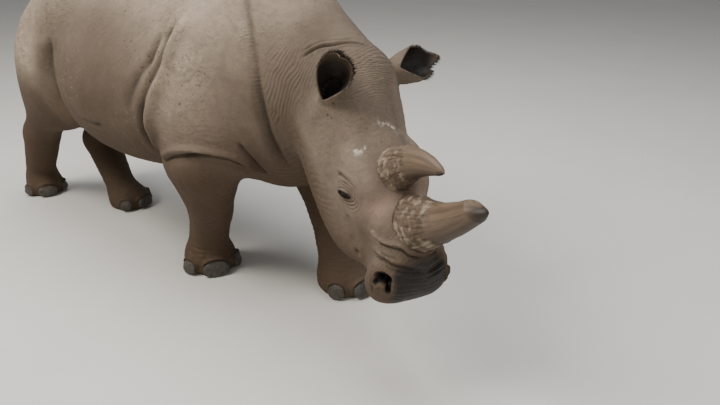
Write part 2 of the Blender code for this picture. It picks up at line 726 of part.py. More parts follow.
# ---------------------------------------------------------------- assembly
def build():
    clear_scene()
    skin = material("hide", (0.235, 0.200, 0.160), 0.85)
    horny = material("horn", (0.200, 0.145, 0.090), 0.60)
    nail_grey = material("nail", (0.085, 0.085, 0.085), 0.55)
    eye_dark = material("eye", (0.012, 0.008, 0.006), 0.08)

    masses = all_masses()
    body = whole_body(masses)
    trimmer = puffed(body, "trimmer")
    finished = {}

    eyes = {}
    for name, side in (("eye_right", -1), ("eye_left", 1)):
        centre = eye_place(side, masses)
        cut(body, sphere("socket", centre, EYE_RADIUS + GAP))
        eyes[name] = sphere(name, centre, EYE_RADIUS)
        cut(body, nostril(side))

    add_ons = {"horn_front": horn("horn_front", FRONT_HORN), "horn_rear": horn("horn_rear", REAR_HORN),
               "tail": tail(), "ear_right": ear("ear_right"), "ear_left": ear("ear_left")}
    for leg_name, leg in LEGS.items():
        for toe in NAILS:
            name = "nail_" + leg_name + "_" + toe
            add_ons[name] = nail(name, leg, toe, masses)
    for item in add_ons.values():
        cut(item, trimmer, keep_cutter=True)
    bpy.data.objects.remove(trimmer, do_unlink=True)

    finished.update(name_parts(part_body(body)))
    finished.update(eyes)
    finished.update(add_ons)

    corners = np.vstack([points_of(item.data) for item in finished.values()])
    low, high = corners.min(0), corners.max(0)
    shift = Vector((-(low[0] + high[0]) / 2, -(low[1] + high[1]) / 2, -low[2]))
    for name, item in finished.items():
        item.data.transform(Matrix.Translation(shift))
        item.data.materials.clear()
        if name.startswith("horn"):
            item.data.materials.append(horny)
        elif name.startswith("nail"):
            item.data.materials.append(nail_grey)
        elif name.startswith("eye"):
            item.data.materials.append(eye_dark)
        else:
            item.data.materials.append(skin)
        item.data.shade_smooth()
        item.data.set_sharp_from_angle(angle=radians(CREASE))


if __name__ == "__main__":
    build()
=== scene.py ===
from math import cos, degrees, pi, radians, sin

import bmesh
import bpy
import numpy as np
from bpy.props import FloatProperty, FloatVectorProperty, IntProperty, PointerProperty
from mathutils import Matrix, Vector


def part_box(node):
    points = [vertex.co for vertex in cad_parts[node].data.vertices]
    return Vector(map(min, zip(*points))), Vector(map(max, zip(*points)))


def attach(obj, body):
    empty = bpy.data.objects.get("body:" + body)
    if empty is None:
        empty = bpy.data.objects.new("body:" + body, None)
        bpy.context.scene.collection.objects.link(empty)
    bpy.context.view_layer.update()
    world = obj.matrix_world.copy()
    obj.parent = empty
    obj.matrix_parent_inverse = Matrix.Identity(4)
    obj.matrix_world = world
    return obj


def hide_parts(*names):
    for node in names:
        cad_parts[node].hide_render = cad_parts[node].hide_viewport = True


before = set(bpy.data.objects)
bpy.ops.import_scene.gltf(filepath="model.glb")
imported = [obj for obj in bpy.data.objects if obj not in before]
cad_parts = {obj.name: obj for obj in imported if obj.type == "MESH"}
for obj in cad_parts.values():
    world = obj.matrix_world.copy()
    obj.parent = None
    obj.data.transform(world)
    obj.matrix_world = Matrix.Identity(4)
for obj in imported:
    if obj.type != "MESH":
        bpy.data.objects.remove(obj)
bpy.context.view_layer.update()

bl_info = {
    "name": "White Rhinoceros",
    "version": (1, 0, 0),
    "blender": (4, 5, 0),
    "location": "3D View > Sidebar > Rhinoceros",
    "description": "Dresses a still, life-size white rhinoceros cow with hide, horns, eyes, nails and hair",
    "category": "Object",
}

# ---------------------------------------------------------------- form
# The body is measured in metres on its own axes: +X to the head, +Y to the left, +Z up, soles at 0.
VOXEL = 0.0115            # grid of the first rough skin
HEAD_AT = Vector((1.465, -0.189, 1.237))   # middle of the line between the ears
HEAD_YAW = -23.0
HEAD_PITCH = 47.0
HEAD_ROLL = 1.0
HEAD_SCALE = 0.99

SOLE_FORE = (0.150, 0.138)   # half length and half width of a fore foot
SOLE_HIND = (0.128, 0.115)
FOOT_HEIGHT = 0.115

EYE_AT = (0.447, 0.150, -0.130)            # along the face, out, up
EYE_RADIUS = 0.022        # of the eye's solid
EYE_SUNK = 0.55           # how far the middle of the eye lies under the face, in radii
EYE_BALL = 0.026          # radius of the finished eyeball
EYE_DEPTH = 0.0175        # how far its middle lies under the face
EYE_TILT = (0.42, 0.26)   # how much it looks ahead and up
LID = 0.0040              # thickness of the lids over the eyeball
SOCKET_REACH = 0.085      # how far round an eye the hide is turned with it

NAILS = {
    # toe: angle off the foot's heading, half width, half height
    "middle": (0.0, 0.056, 0.044), "inner": (58.0, 0.042, 0.038), "outer": (-58.0, 0.042, 0.038),
}
NAIL_DEPTH = 0.022
NAIL_CLEAR = 0.004        # gap between a nail and the floor
NAIL_TILT = -14.0
NAIL_BROAD = 1.20         # how much wider the middle nail is made
HIND_NAILS = 0.84         # size of the hind nails against the fore ones
NAIL_BED = 0.11           # how far from a nail its roll of hide is looked for

TAIL_PATH = ((-1.03, 0.00, 1.30), (-1.165, 0.00, 1.17), (-1.225, -0.02, 0.95), (-1.235, -0.05, 0.68))
TAIL_RADII = (0.055, 0.040, 0.027, 0.017)

LEGS = {
    "fore_right": {
        "side": -1, "fore": True, "turn": -28.0,
        "elbow": (0.55, -0.275, 0.70), "knee": (0.462, -0.192, 0.36), "ankle": (0.375, -0.158, 0.13),
        "foot": (0.364, -0.145),
    },
    "fore_left": {
        "side": 1, "fore": True, "turn": -8.0,
        "elbow": (0.78, 0.255, 0.70), "knee": (0.95, 0.185, 0.38), "ankle": (1.045, 0.150, 0.13),
        "foot": (1.085, 0.142),
    },
    "hind_right": {
        "side": -1, "fore": False, "turn": -22.0,
        "elbow": (-0.74, -0.265, 0.77), "knee": (-1.18, -0.200, 0.45), "ankle": (-1.345, -0.172, 0.14),
        "foot": (-1.335, -0.164),
    },
    "hind_left": {
        "side": 1, "fore": False, "turn": 16.0,
        "elbow": (-0.64, 0.255, 0.77), "knee": (-1.05, 0.125, 0.36), "ankle": (-0.79, 0.070, 0.12),
        "foot": (-0.690, 0.056),
    },
}

EARS = {
    # root on the head, way the ear points, way its opening faces; all along the face, left, up
    "ear_right": ((0.072, -0.146, -0.090), (-0.12, -0.05, 0.92), (0.75, -1.05, 0.30)),
    "ear_left": ((0.008, 0.092, -0.070), (-0.15, 1.00, 0.12), (0.25, 0.00, 1.00)),
}
EAR_LENGTH = {"ear_right": 0.280, "ear_left": 0.300}
EAR_WALL = 0.009
EAR_OUTLINES = {     # share of the length, half width, half depth
    "ear_right": ((0.0, 0.036, 0.040), (0.20, 0.036, 0.044), (0.40, 0.052, 0.060), (0.60, 0.072, 0.074),
                  (0.80, 0.074, 0.074), (0.92, 0.052, 0.056), (1.0, 0.018, 0.020)),
    "ear_left": ((0.0, 0.044, 0.044), (0.20, 0.048, 0.050), (0.40, 0.066, 0.064), (0.60, 0.076, 0.072),
                 (0.80, 0.066, 0.060), (1.0, 0.018, 0.020)),
}
EAR_NOTCH = {"ear_right": 0.18, "ear_left": 0.30}     # where the opening begins, as a share of the length
EAR_FLOOR = {"ear_right": 0.15, "ear_left": 0.24}     # how deep the hollow goes
EAR_SHADE = {"ear_right": (0.86, 0.52), "ear_left": (1.10, 0.80)}     # share where painted shade deepens in the hollow
EAR_TEAR = 0.080          # depth of the old tear in the left ear, as a share of the length
EAR_ARCH = 0.030          # how far the tip of an ear stands ahead of its root
EAR_PLUG = 0.022          # how far the head is pressed in under an ear's hollow

RIB_SPECKS = (-0.02, -0.46, 1.22)     # middle of the mud specks thrown up on the ribs

FRONT_HORN = {
    "base": (0.652, 0.0, -0.018), "length": 0.475, "lean": 25.0, "bend": -20.0, "slant": 0.034,
    # share of the length, half length along the face, half width
    "girth": ((0.0, 0.106, 0.086), (0.12, 0.104, 0.085), (0.20, 0.097, 0.081), (0.34, 0.080, 0.071),
              (0.55, 0.063, 0.058), (0.78, 0.052, 0.048), (0.92, 0.044, 0.040), (1.0, 0.024, 0.022)),
}
HORN_ROUGH = 0.44         # share of a horn, from its foot, that is frayed
REAR_HORN = {
    "base": (0.442, 0.0, -0.025), "length": 0.375, "lean": 2.0, "bend": 46.0, "slant": 0.0,
    "girth": ((0.0, 0.088, 0.080), (0.13, 0.086, 0.078), (0.26, 0.075, 0.064), (0.42, 0.062, 0.052),
              (0.60, 0.050, 0.041), (0.78, 0.035, 0.028), (0.92, 0.020, 0.016), (1.0, 0.005, 0.005)),
}

# The camera's place on the body's axes, and its turn.
CAMERA_AT = (3.32027, -2.41256, 1.89555)
CAMERA_TURN = ((0.767263, -0.249407, 0.590850), (0.641333, 0.298380, -0.706867), (0.0, 0.921285, 0.388889))
FLOOR_DROP = 0.0005       # how far the floor lies under the soles


def head_axes():
    """Rows: along the face, to the animal's left, out of the forehead."""
    yaw, pitch, roll = radians(HEAD_YAW), radians(HEAD_PITCH), radians(HEAD_ROLL)
    along = Vector((cos(pitch) * cos(yaw), cos(pitch) * sin(yaw), -sin(pitch)))
    left = Vector((-sin(yaw), cos(yaw), 0.0))
    up = along.cross(left)
    return along, cos(roll) * left + sin(roll) * up, cos(roll) * up - sin(roll) * left


ALONG, LEFT, UP = head_axes()
HEAD_TURN = Matrix((ALONG, LEFT, UP)).transposed()


def on_head(along, left, up):
    """Point of the body measured on the head."""
    return HEAD_AT + HEAD_TURN @ (Vector((along, left, up)) * HEAD_SCALE)


def head_measure(points):
    """Points as distances along the face, to the left and up."""
    return (points - np.array(HEAD_AT)) @ np.array(HEAD_TURN) / HEAD_SCALE


# ---------------------------------------------------------------- masses of flesh
def ball(centre, radii, blend, pitch=0.0, yaw=0.0):
    turn = Matrix.Rotation(radians(yaw), 3, "Z") @ Matrix.Rotation(radians(pitch), 3, "Y")
    return {"kind": "ball", "centre": Vector(centre), "radii": Vector(radii), "turn": turn, "blend": blend}


def limb(start, end, start_radius, end_radius, blend, flat=1.0, across=(0.0, 1.0, 0.0)):
    return {
        "kind": "limb", "start": Vector(start), "end": Vector(end),
        "radii": (start_radius, end_radius), "flat": flat, "across": Vector(across), "blend": blend,
    }


def head_ball(centre, radii, blend, yaw=0.0):
    mass = ball((0, 0, 0), [r * HEAD_SCALE for r in radii], blend, yaw=yaw)
    mass["centre"] = on_head(*centre)
    mass["turn"] = HEAD_TURN @ mass["turn"]
    return mass


def head_limb(start, end, start_radius, end_radius, blend):
    return limb(on_head(*start), on_head(*end), start_radius * HEAD_SCALE, end_radius * HEAD_SCALE, blend,
                across=LEFT)


def trunk_masses():
    masses = [
        ball((0.15, 0.0, 1.03), (0.80, 0.46, 0.47), 0.0),                  # ribs
        ball((-0.10, 0.0, 0.91), (0.70, 0.50, 0.415), 0.15),                # belly
        ball((-0.65, 0.0, 1.16), (0.44, 0.33, 0.38), 0.20),                # loin
        ball((-0.88, 0.0, 1.06), (0.25, 0.23, 0.33), 0.12),                # rump
        ball((0.52, 0.0, 1.34), (0.46, 0.18, 0.25), 0.20),                 # withers
        limb((0.25, 0.0, 1.41), (-0.80, 0.0, 1.38), 0.09, 0.09, 0.12),     # spine
        ball((0.84, 0.0, 0.85), (0.34, 0.27, 0.30), 0.12),                 # brisket
    ]
    for side in (-1, 1):
        masses += [
            ball((0.60, 0.25 * side, 1.02), (0.30, 0.20, 0.42), 0.13, pitch=-12.0),   # shoulder
            ball((-0.52, 0.25 * side, 1.31), (0.14, 0.10, 0.10), 0.16),               # hip bone
            ball((-0.60, 0.235 * side, 0.76), (0.17, 0.12, 0.13), 0.09, pitch=20.0),  # web of the flank
        ]
    return masses


def neck_masses():
    return [
        limb((0.80, 0.0, 1.10), on_head(-0.02, 0.0, -0.22), 0.41, 0.235, 0.14, flat=0.82),
        limb((0.82, 0.0, 1.36), on_head(-0.06, 0.0, -0.13), 0.22, 0.09, 0.14),   # hump over the nape
    ]


def head_masses():
    masses = [
        head_ball((0.08, 0.0, -0.17), (0.22, 0.17, 0.17), 0.10),                   # braincase
        head_limb((-0.01, -0.09, -0.08), (-0.01, 0.09, -0.08), 0.06, 0.06, 0.08),  # crest between the ears
        head_limb((0.0, 0.0, -0.14), (0.42, 0.0, -0.13), 0.14, 0.13, 0.08),        # forehead
        head_limb((0.38, 0.0, -0.13), (0.74, 0.0, -0.14), 0.125, 0.115, 0.08),     # bridge of the nose
        head_limb((0.24, 0.0, -0.36), (0.74, 0.0, -0.31), 0.14, 0.098, 0.08),      # lower jaw
        head_ball((0.67, 0.0, -0.060), (0.14, 0.10, 0.08), 0.05),                  # boss under the front horn
        head_ball((0.45, 0.0, -0.065), (0.11, 0.085, 0.06), 0.05),                 # boss under the rear horn
        head_limb((0.80, -0.060, -0.195), (0.80, 0.060, -0.195), 0.096, 0.096, 0.07),      # muzzle
        head_limb((0.80, -0.072, -0.265), (0.80, 0.072, -0.265), 0.074, 0.074, 0.05),      # upper lip
        head_limb((0.775, -0.062, -0.335), (0.775, 0.062, -0.335), 0.052, 0.052, 0.025), # lower lip
    ]
    for side in (-1, 1):
        masses += [
            head_ball((0.22, 0.090 * side, -0.31), (0.25, 0.116, 0.21), 0.08, yaw=-4.0 * side),    # cheek
            head_ball((0.45, 0.085 * side, -0.17), (0.14, 0.085, 0.10), 0.06),        # eye socket
            head_ball((0.43, 0.086 * side, -0.38), (0.22, 0.097, 0.13), 0.07),        # jowl
            head_ball((0.40, 0.125 * side, -0.085), (0.10, 0.05, 0.05), 0.05),        # brow
            head_ball((0.79, 0.115 * side, -0.165), (0.055, 0.035, 0.045), 0.03),     # nostril wing
        ]
    return masses


def leg_masses(leg):
    elbow, knee, ankle = (Vector(leg[name]) for name in ("elbow", "knee", "ankle"))
    side = leg["side"]
    if leg["fore"]:
        top = elbow + Vector((0.03, -0.02 * side, 0.18))
        masses = [
            limb(top, elbow, 0.23, 0.195, 0.06, flat=0.85),
            limb(elbow, knee, 0.190, 0.104, 0.05),
            limb(knee, ankle, 0.104, 0.104, 0.04),
        ]
        length, width = SOLE_FORE
    else:
        masses = [
            ball((-0.79, 0.220 * side, 0.94), (0.34, 0.20, 0.40), 0.08, pitch=24.0),
            limb(elbow + Vector((-0.05, -0.02 * side, 0.10)), knee, 0.175, 0.108, 0.10, flat=0.88),
            limb(knee, ankle, 0.110, 0.088, 0.04),
        ]
        length, width = SOLE_HIND
    foot = Vector((leg["foot"][0], leg["foot"][1], 0.045))
    masses.append(ball(foot, (length, width, FOOT_HEIGHT), 0.06, yaw=leg["turn"]))
    for angle, half_width, _ in NAILS.values():
        heading = radians(leg["turn"] + angle * side)
        out = 0.62 * (length if angle == 0.0 else width)
        toe = foot + Vector((cos(heading), sin(heading), 0.0)) * out
        toe.z = 0.044
        size = half_width * (length / SOLE_FORE[0])
        masses.append(ball(toe, (length - out + 0.008, size + 0.010, 0.056), 0.03, yaw=degrees(heading)))
    return masses


def tail_masses():
    """Tail as a chain of short tapered lengths."""
    count = 9
    places = [along_path(TAIL_PATH, i / count) for i in range(count + 1)]
    sizes = np.interp(np.linspace(0.0, 1.0, count + 1), np.linspace(0.0, 1.0, len(TAIL_RADII)), TAIL_RADII)
    return [limb(places[i], places[i + 1], sizes[i], sizes[i + 1], 0.05 if i < 2 else 0.012)
            for i in range(count)]


def ear_root_masses():
    """Swelling of the head from which each ear grows."""
    masses = []
    for name in EARS:
        origin, axis, _, _ = ear_axes(name)
        masses.append(limb(origin - axis * 0.05, origin - axis * 0.012, 0.050, 0.040, 0.05))
    return masses


def all_masses():
    masses = trunk_masses() + neck_masses() + head_masses()
    for leg in LEGS.values():
        masses += leg_masses(leg)
    masses += tail_masses() + ear_root_masses()
    for mass in masses:
        if mass["kind"] == "ball":
            mass["middle"], mass["reach"] = np.array(mass["centre"]), max(mass["radii"])
        else:
            mass["middle"] = np.array((mass["start"] + mass["end"]) * 0.5)
            mass["reach"] = (mass["end"] - mass["start"]).length * 0.5 + max(mass["radii"])
    return masses


def along_path(points, share):
    """Point on a smooth curve through the given points."""
    spans = len(points) - 1
    place = min(share * spans, spans - 1e-6)
    i = int(place)
    t = place - i
    first, second = Vector(points[i]), Vector(points[i + 1])
    before = Vector(points[i - 1]) if i > 0 else first * 2 - second
    after = Vector(points[i + 2]) if i + 2 <= spans else second * 2 - first
    return 0.5 * (2 * first + (second - before) * t + (2 * before - 5 * first + 4 * second - after) * t * t
                  + (3 * first - before - 3 * second + after) * t ** 3)


# ---------------------------------------------------------------- the blended form
def ball_distance(points, mass):
    local = (points - np.array(mass["centre"])) @ np.array(mass["turn"])
    radii = np.array(mass["radii"])
    near = np.sqrt(((local / radii) ** 2).sum(1)) + 1e-9
    slope = np.sqrt(((local / radii ** 2) ** 2).sum(1)) + 1e-9
    return near * (near - 1.0) / slope


def limb_distance(points, mass):
    start, end = np.array(mass["start"]), np.array(mass["end"])
    length = np.linalg.norm(end - start)
    axis = (end - start) / length
    along = (points - start) @ axis
    away = points - start - along[:, None] * axis
    across = np.array(mass["across"])
    away = away + np.outer(away @ across, across) * (1.0 / mass["flat"] - 1.0)
    away = np.sqrt((away * away).sum(1))
    first, last = mass["radii"]
    taper = (first - last) / length
    lean = np.sqrt(1.0 - taper * taper)
    foot = along * lean - away * taper
    side = away * lean + along * taper - first
    start_cap = np.sqrt(away * away + along * along) - first
    end_cap = np.sqrt(away * away + (along - length) ** 2) - last
    return np.where(foot < 0.0, start_cap, np.where(foot > lean * length, end_cap, side))


def blended(first, second, reach):
    """Smaller of two distances, rounded where they are within reach of each other."""
    if reach <= 0.0:
        return np.minimum(first, second)
    near = np.maximum(reach - np.abs(first - second), 0.0) / reach
    return np.minimum(first, second) - near * near * reach * 0.25


def square_apart(points, centre):
    """Square of each point's distance from a centre."""
    return ((points - np.array(centre)) ** 2).sum(1)


def flesh(points, masses):
    """Signed distance to the body's surface, less than zero inside."""
    distance = np.full(len(points), 9.0)
    for mass in masses:
        away = np.sqrt(square_apart(points, mass["middle"])) - mass["reach"]
        near = np.nonzero(away < distance + mass["blend"])[0]
        if len(near) == 0:
            continue
        measure = ball_distance if mass["kind"] == "ball" else limb_distance
        distance[near] = blended(distance[near], measure(points[near], mass), mass["blend"])
    return -blended(-distance, points[:, 2], 0.012)


def slope_of(points, masses, value):
    reach = 0.0015
    slope = np.empty_like(points)
    for axis in range(3):
        shift = np.zeros(3)
        shift[axis] = reach
        slope[:, axis] = (flesh(points + shift, masses) - value) / reach
    return slope


def pulled_onto_form(points, masses, steps=2):
    """Points moved along the form's own slope until they lie on its surface."""
    for _ in range(steps):
        value = flesh(points, masses)
        slope = slope_of(points, masses, value)
        steep = np.maximum((slope * slope).sum(1), 0.25)
        points = points - slope * (value / steep)[:, None]
    return points


def surface_point(start, aim, masses):
    """Where a line from start towards aim first meets the body, and the way out there."""
    start, aim = np.array(start), np.array(aim)
    line = start + np.linspace(0.0, 1.0, 400)[:, None] * (aim - start)
    inside = flesh(line, masses) < 0.0
    point = line[int(np.argmax(inside))] if inside.any() else aim
    reach = 0.004
    ahead = flesh(point + np.eye(3) * reach, masses)
    behind = flesh(point - np.eye(3) * reach, masses)
    return Vector(point), Vector(ahead - behind).normalized()


# ---------------------------------------------------------------- noise
def noise(points, size, seed=0, octaves=1):
    """Smooth value noise between -1 and 1; size is that of its largest lumps, in metres."""
    total, weight, full = np.zeros(len(points)), 1.0, 0.0
    for octave in range(octaves):
        place = points / (size / 2.0 ** octave) + 37.1 + seed * 11.3 + octave * 5.7
        cell = np.floor(place).astype(np.int64)
        part = place - cell
        part = part * part * (3.0 - 2.0 * part)
        value = np.zeros(len(points))
        for corner in range(8):
            step = np.array(((corner >> 2) & 1, (corner >> 1) & 1, corner & 1))
            i, j, k = (cell + step).T
            mix = (i * 73856093) ^ (j * 19349663) ^ (k * 83492791) ^ (seed * 2654435 + octave * 97)
            mix = ((mix ^ (mix >> 13)) * 1274126177) & 0x7FFFFFFF
            mix = ((mix ^ (mix >> 15)) * 1103515245) & 0x7FFFFFFF
            share = np.where(step, part, 1.0 - part).prod(1)
            value += share * ((mix >> 7) % 4096 / 2048.0 - 1.0)
        total += value * weight
        full += weight
        weight *= 0.5
    return total / full


def ramp(value, low, high):
    """0 below low, 1 above high, and smooth between; low may be above high."""
    share = np.clip((value - low) / (high - low), 0.0, 1.0)
    return share * share * (3.0 - 2.0 * share)


def hill(value, middle, width):
    """1 at the middle, and falling smoothly on both sides of it."""
    return np.exp(-((value - middle) / width) ** 2)


def raise_to(shares, where, value):
    """Makes the shares at some places at least as high as a value."""
    shares[where] = np.maximum(shares[where], value)


# ---------------------------------------------------------------- folds of the hide
# Each fold: the points it runs through, depth, half width, which side rolls over (1 below or behind,
# -1 above or in front, 0 neither), and whether the other side of the body has it too.
BODY_FOLDS = {
    "neck against shoulder": (
        ((0.78, -0.12, 1.52), (0.875, -0.237, 1.452), (0.938, -0.279, 1.356), (0.998, -0.316, 1.232),
         (1.035, -0.332, 1.092), (1.048, -0.317, 0.983), (1.045, -0.291, 0.90), (1.056, -0.245, 0.80),
         (1.064, -0.19, 0.73)), 0.015, 0.020, 1, True),
    "behind shoulder": (
        ((0.60, -0.31, 1.43), (0.546, -0.397, 1.316), (0.513, -0.443, 1.186), (0.442, -0.458, 1.088),
         (0.375, -0.462, 0.983), (0.337, -0.457, 0.903), (0.314, -0.442, 0.832), (0.298, -0.40, 0.745),
         (0.32, -0.36, 0.66)), 0.028, 0.024, -1, True),
    "second behind shoulder": (
        ((0.49, -0.40, 1.32), (0.435, -0.443, 1.186), (0.352, -0.458, 1.088), (0.285, -0.462, 0.983),
         (0.25, -0.455, 0.90)), 0.010, 0.020, 0, True),
    "above right elbow": (
        ((0.43, -0.44, 0.700), (0.495, -0.46, 0.715), (0.56, -0.465, 0.746), (0.663, -0.44, 0.772),
         (0.752, -0.397, 0.776), (0.826, -0.344, 0.759), (0.875, -0.29, 0.715), (0.90, -0.23, 0.66)),
        0.024, 0.0115, -1, False),
    "above left elbow": (
        ((0.62, 0.45, 0.70), (0.75, 0.46, 0.735), (0.86, 0.44, 0.76), (0.96, 0.39, 0.76),
         (1.04, 0.31, 0.72)), 0.025, 0.0145, 1, False),
    "brisket": (((0.885, -0.345, 0.86), (0.905, -0.31, 0.80), (0.925, -0.265, 0.73), (0.935, -0.215, 0.67)),
                0.012, 0.010, 0, True),
    "flank": (
        ((-0.56, -0.395, 1.16), (-0.565, -0.403, 1.027), (-0.54, -0.399, 0.888), (-0.49, -0.372, 0.771),
         (-0.42, -0.34, 0.68)), 0.030, 0.034, 1, True),
    "low on the ribs": (((0.02, -0.48, 0.80), (-0.06, -0.49, 0.785), (-0.16, -0.48, 0.80)),
                        0.006, 0.012, 0, True),
}
HEAD_FOLDS = {
    "nape": (((-0.136, -0.187, -0.108), (-0.142, -0.149, -0.065), (-0.140, -0.111, -0.033),
              (-0.124, -0.070, -0.002), (-0.114, -0.014, 0.018), (-0.101, 0.034, 0.022),
              (-0.083, 0.060, 0.025)), 0.0085, 0.0060, 0, False),
    "second nape": (((-0.160, -0.175, -0.100), (-0.166, -0.137, -0.055), (-0.160, -0.09, -0.020),
                     (-0.146, -0.045, 0.000), (-0.138, 0.02, 0.010)), 0.0040, 0.0055, 0, False),
    "under the horn": (((0.60, -0.135, -0.165), (0.663, -0.117, -0.124), (0.699, -0.112, -0.083),
                        (0.739, -0.084, -0.031), (0.775, -0.059, -0.023), (0.790, 0.0, -0.010)),
                       0.012, 0.0065, -1, True),
    "between": (((0.70, -0.125, -0.125), (0.735, -0.112, -0.088), (0.765, -0.090, -0.058)),
                0.004, 0.0055, 0, True),
    "snout": (((0.665, -0.128, -0.20), (0.69, -0.128, -0.170), (0.725, -0.130, -0.131),
               (0.745, -0.123, -0.106), (0.778, -0.106, -0.084), (0.808, -0.062, -0.058),
               (0.825, 0.0, -0.049)), 0.011, 0.0070, -1, True),
    "second snout": (((0.762, -0.128, -0.108), (0.795, -0.106, -0.094), (0.825, -0.062, -0.070),
                      (0.841, 0.0, -0.062)), 0.006, 0.0060, 0, True),
    "third snout": (((0.812, -0.104, -0.105), (0.842, -0.062, -0.086), (0.857, 0.0, -0.080)),
                    0.005, 0.0060, 0, True),
    "wing of the nostril": (((0.735, -0.150, -0.155), (0.762, -0.152, -0.176), (0.80, -0.160, -0.205),
                             (0.835, -0.150, -0.235)), 0.007, 0.007, 0, True),
    "mouth": (((0.60, -0.115, -0.318), (0.68, -0.130, -0.320), (0.76, -0.138, -0.316),
               (0.82, -0.125, -0.312), (0.852, -0.075, -0.310), (0.862, 0.0, -0.309)),
              0.016, 0.007, 0, True),
    "cheek": (((0.50, -0.165, -0.22), (0.56, -0.150, -0.25), (0.61, -0.135, -0.30)), 0.006, 0.014, 0, True),
    "brow": (((0.362, -0.178, -0.140), (0.385, -0.180, -0.098), (0.425, -0.176, -0.068),
              (0.475, -0.160, -0.062)), 0.008, 0.0065, 0, True),
    "second brow": (((0.398, -0.182, -0.112), (0.425, -0.178, -0.085), (0.465, -0.165, -0.078)),
                    0.004, 0.005, 0, True),
}


def near_path(points, path, reach):
    """The points within reach of a smooth line: which, how far off, share along it, and on which side."""
    shares = np.linspace(0.0, 1.0, 8 * len(path))
    samples = np.array([along_path(path, share) for share in shares])
    headings = np.gradient(samples, axis=0)
    low, high = samples.min(0) - reach, samples.max(0) + reach
    close = np.nonzero(((points > low) & (points < high)).all(1))[0]
    away = points[close][:, None, :] - samples[None, :, :]
    apart = (away * away).sum(2)
    nearest = apart.argmin(1)
    rows = np.arange(len(close))
    distance = np.sqrt(apart[rows, nearest])
    kept = distance < reach
    nearest, away = nearest[kept], away[rows, nearest][kept]
    return close[kept], distance[kept], shares[nearest], away, headings[nearest]


def add_fold(height, crease_shade, points, normals, path, depth, width, over):
    """Presses a crease into the hide; on one side, or both, a soft roll stands beside it."""
    close, distance, share, away, heading = near_path(points, path, width * 6.0)
    side = np.sign((np.cross(heading, normals[close]) * away).sum(1)) * (1.0 if over else 0.0)
    distance = np.abs(distance + noise(points[close], 0.07, 5) * width * 0.30)
    fade = ramp(share, -0.02, 0.16) * ramp(share, 1.02, 0.84)
    fade = fade * (0.85 + 0.35 * noise(points[close], 0.11, 6))
    rolled = np.where(side * over > 0.0, 1.05, np.where(over != 0, -0.30, 0.40))
    height[close] -= depth * fade * np.exp(-(distance / width) ** 2)
    height[close] += depth * fade * rolled * hill(distance, 2.3 * width, 1.5 * width)
    # painted shade along the crease
    raise_to(crease_shade, close, fade * np.exp(-(distance / (0.65 * width)) ** 2))


def add_folds(height, crease_shade, points, normals, folds, placed):
    """Every fold of a table, on both sides of the body where it has both."""
    for path, depth, width, over, both in folds.values():
        for side in ((1, -1) if both else (1,)):
            line = [placed(first, second * side, third) for first, second, third in path]
            add_fold(height, crease_shade, points, normals, line, depth, width, over * side)


def creases(points, way, spacing, seed, waver, lump):
    """Fine parallel creases square to a direction: rounded ridges with sharp valleys."""
    phase = points @ np.array(way) / spacing + waver * noise(points, lump, seed, 2)
    return np.abs(np.sin(pi * phase)) ** 0.6 - 0.75


def add_creases(height, points, rows):
    """Rows of where and how deep, square to what, how far apart, seed, how much and how widely they waver."""
    for where, depth, way, spacing, seed, waver, lump in rows:
        height += depth * where * creases(points, way, spacing, seed, waver, lump)


# ---------------------------------------------------------------- ears
def ear_axes(name):
    root, points_to, faces_to = (Vector(value) for value in EARS[name])
    axis = (HEAD_TURN @ points_to).normalized()
    front = HEAD_TURN @ faces_to
    front = (front - axis * front.dot(axis)).normalized()
    return on_head(*root), axis, front, axis.cross(front)


def ear_size(name, share):
    shares, widths, depths = zip(*EAR_OUTLINES[name])
    return np.interp(share, shares, widths), np.interp(share, shares, depths)


def ear_rim(name, angle):
    """How far up the ear its rim stands at an angle round it."""
    rounded = (0.5 - 0.5 * cos(angle)) ** 0.75
    pointed = 1.0 - abs(angle - pi) / pi
    bite = 0.0
    if name == "ear_left":
        bite = EAR_TEAR * max(0.0, 1.0 - abs(angle - 2.40) / 0.20)
    ripple = 0.012 * sin(7.0 * angle + 1.0) * sin(angle / 2.0)
    notch = EAR_NOTCH[name]
    return notch + (1.0 - notch) * (0.6 * rounded + 0.4 * pointed) - bite + ripple


def ear_place(name, angle, share, inset):
    """Point of an ear's wall, inset from its outer face."""
    origin, axis, front, side = ear_axes(name)
    half_width, half_depth = ear_size(name, share)
    return (origin + axis * (share * EAR_LENGTH[name]) + side * ((half_width - inset) * sin(angle))
            + front * ((half_depth - inset) * cos(angle) + EAR_ARCH * share * share))


def ear_shell(name, around=72):
    """Closed wall of one ear, with a rounded rim and a deep hollow."""
    angles = [2 * pi * i / around for i in range(around)]
    rings = [[ear_place(name, angle, ear_rim(name, angle) * level, 0.0) for angle in angles]
             for level in np.linspace(0.0, 0.985, 24)]
    for rise, inset in ((0.003, 0.15), (0.008, 0.5), (0.003, 0.85)):
        rings.append([ear_place(name, angle, ear_rim(name, angle) - 0.006 + rise, EAR_WALL * inset)
                      for angle in angles])
    floor = EAR_FLOOR[name]
    rings += [[ear_place(name, angle, floor + (ear_rim(name, angle) - 0.018 - floor) * level, EAR_WALL)
               for angle in angles] for level in np.linspace(1.0, 0.0, 20)]
    return loft(name, rings)


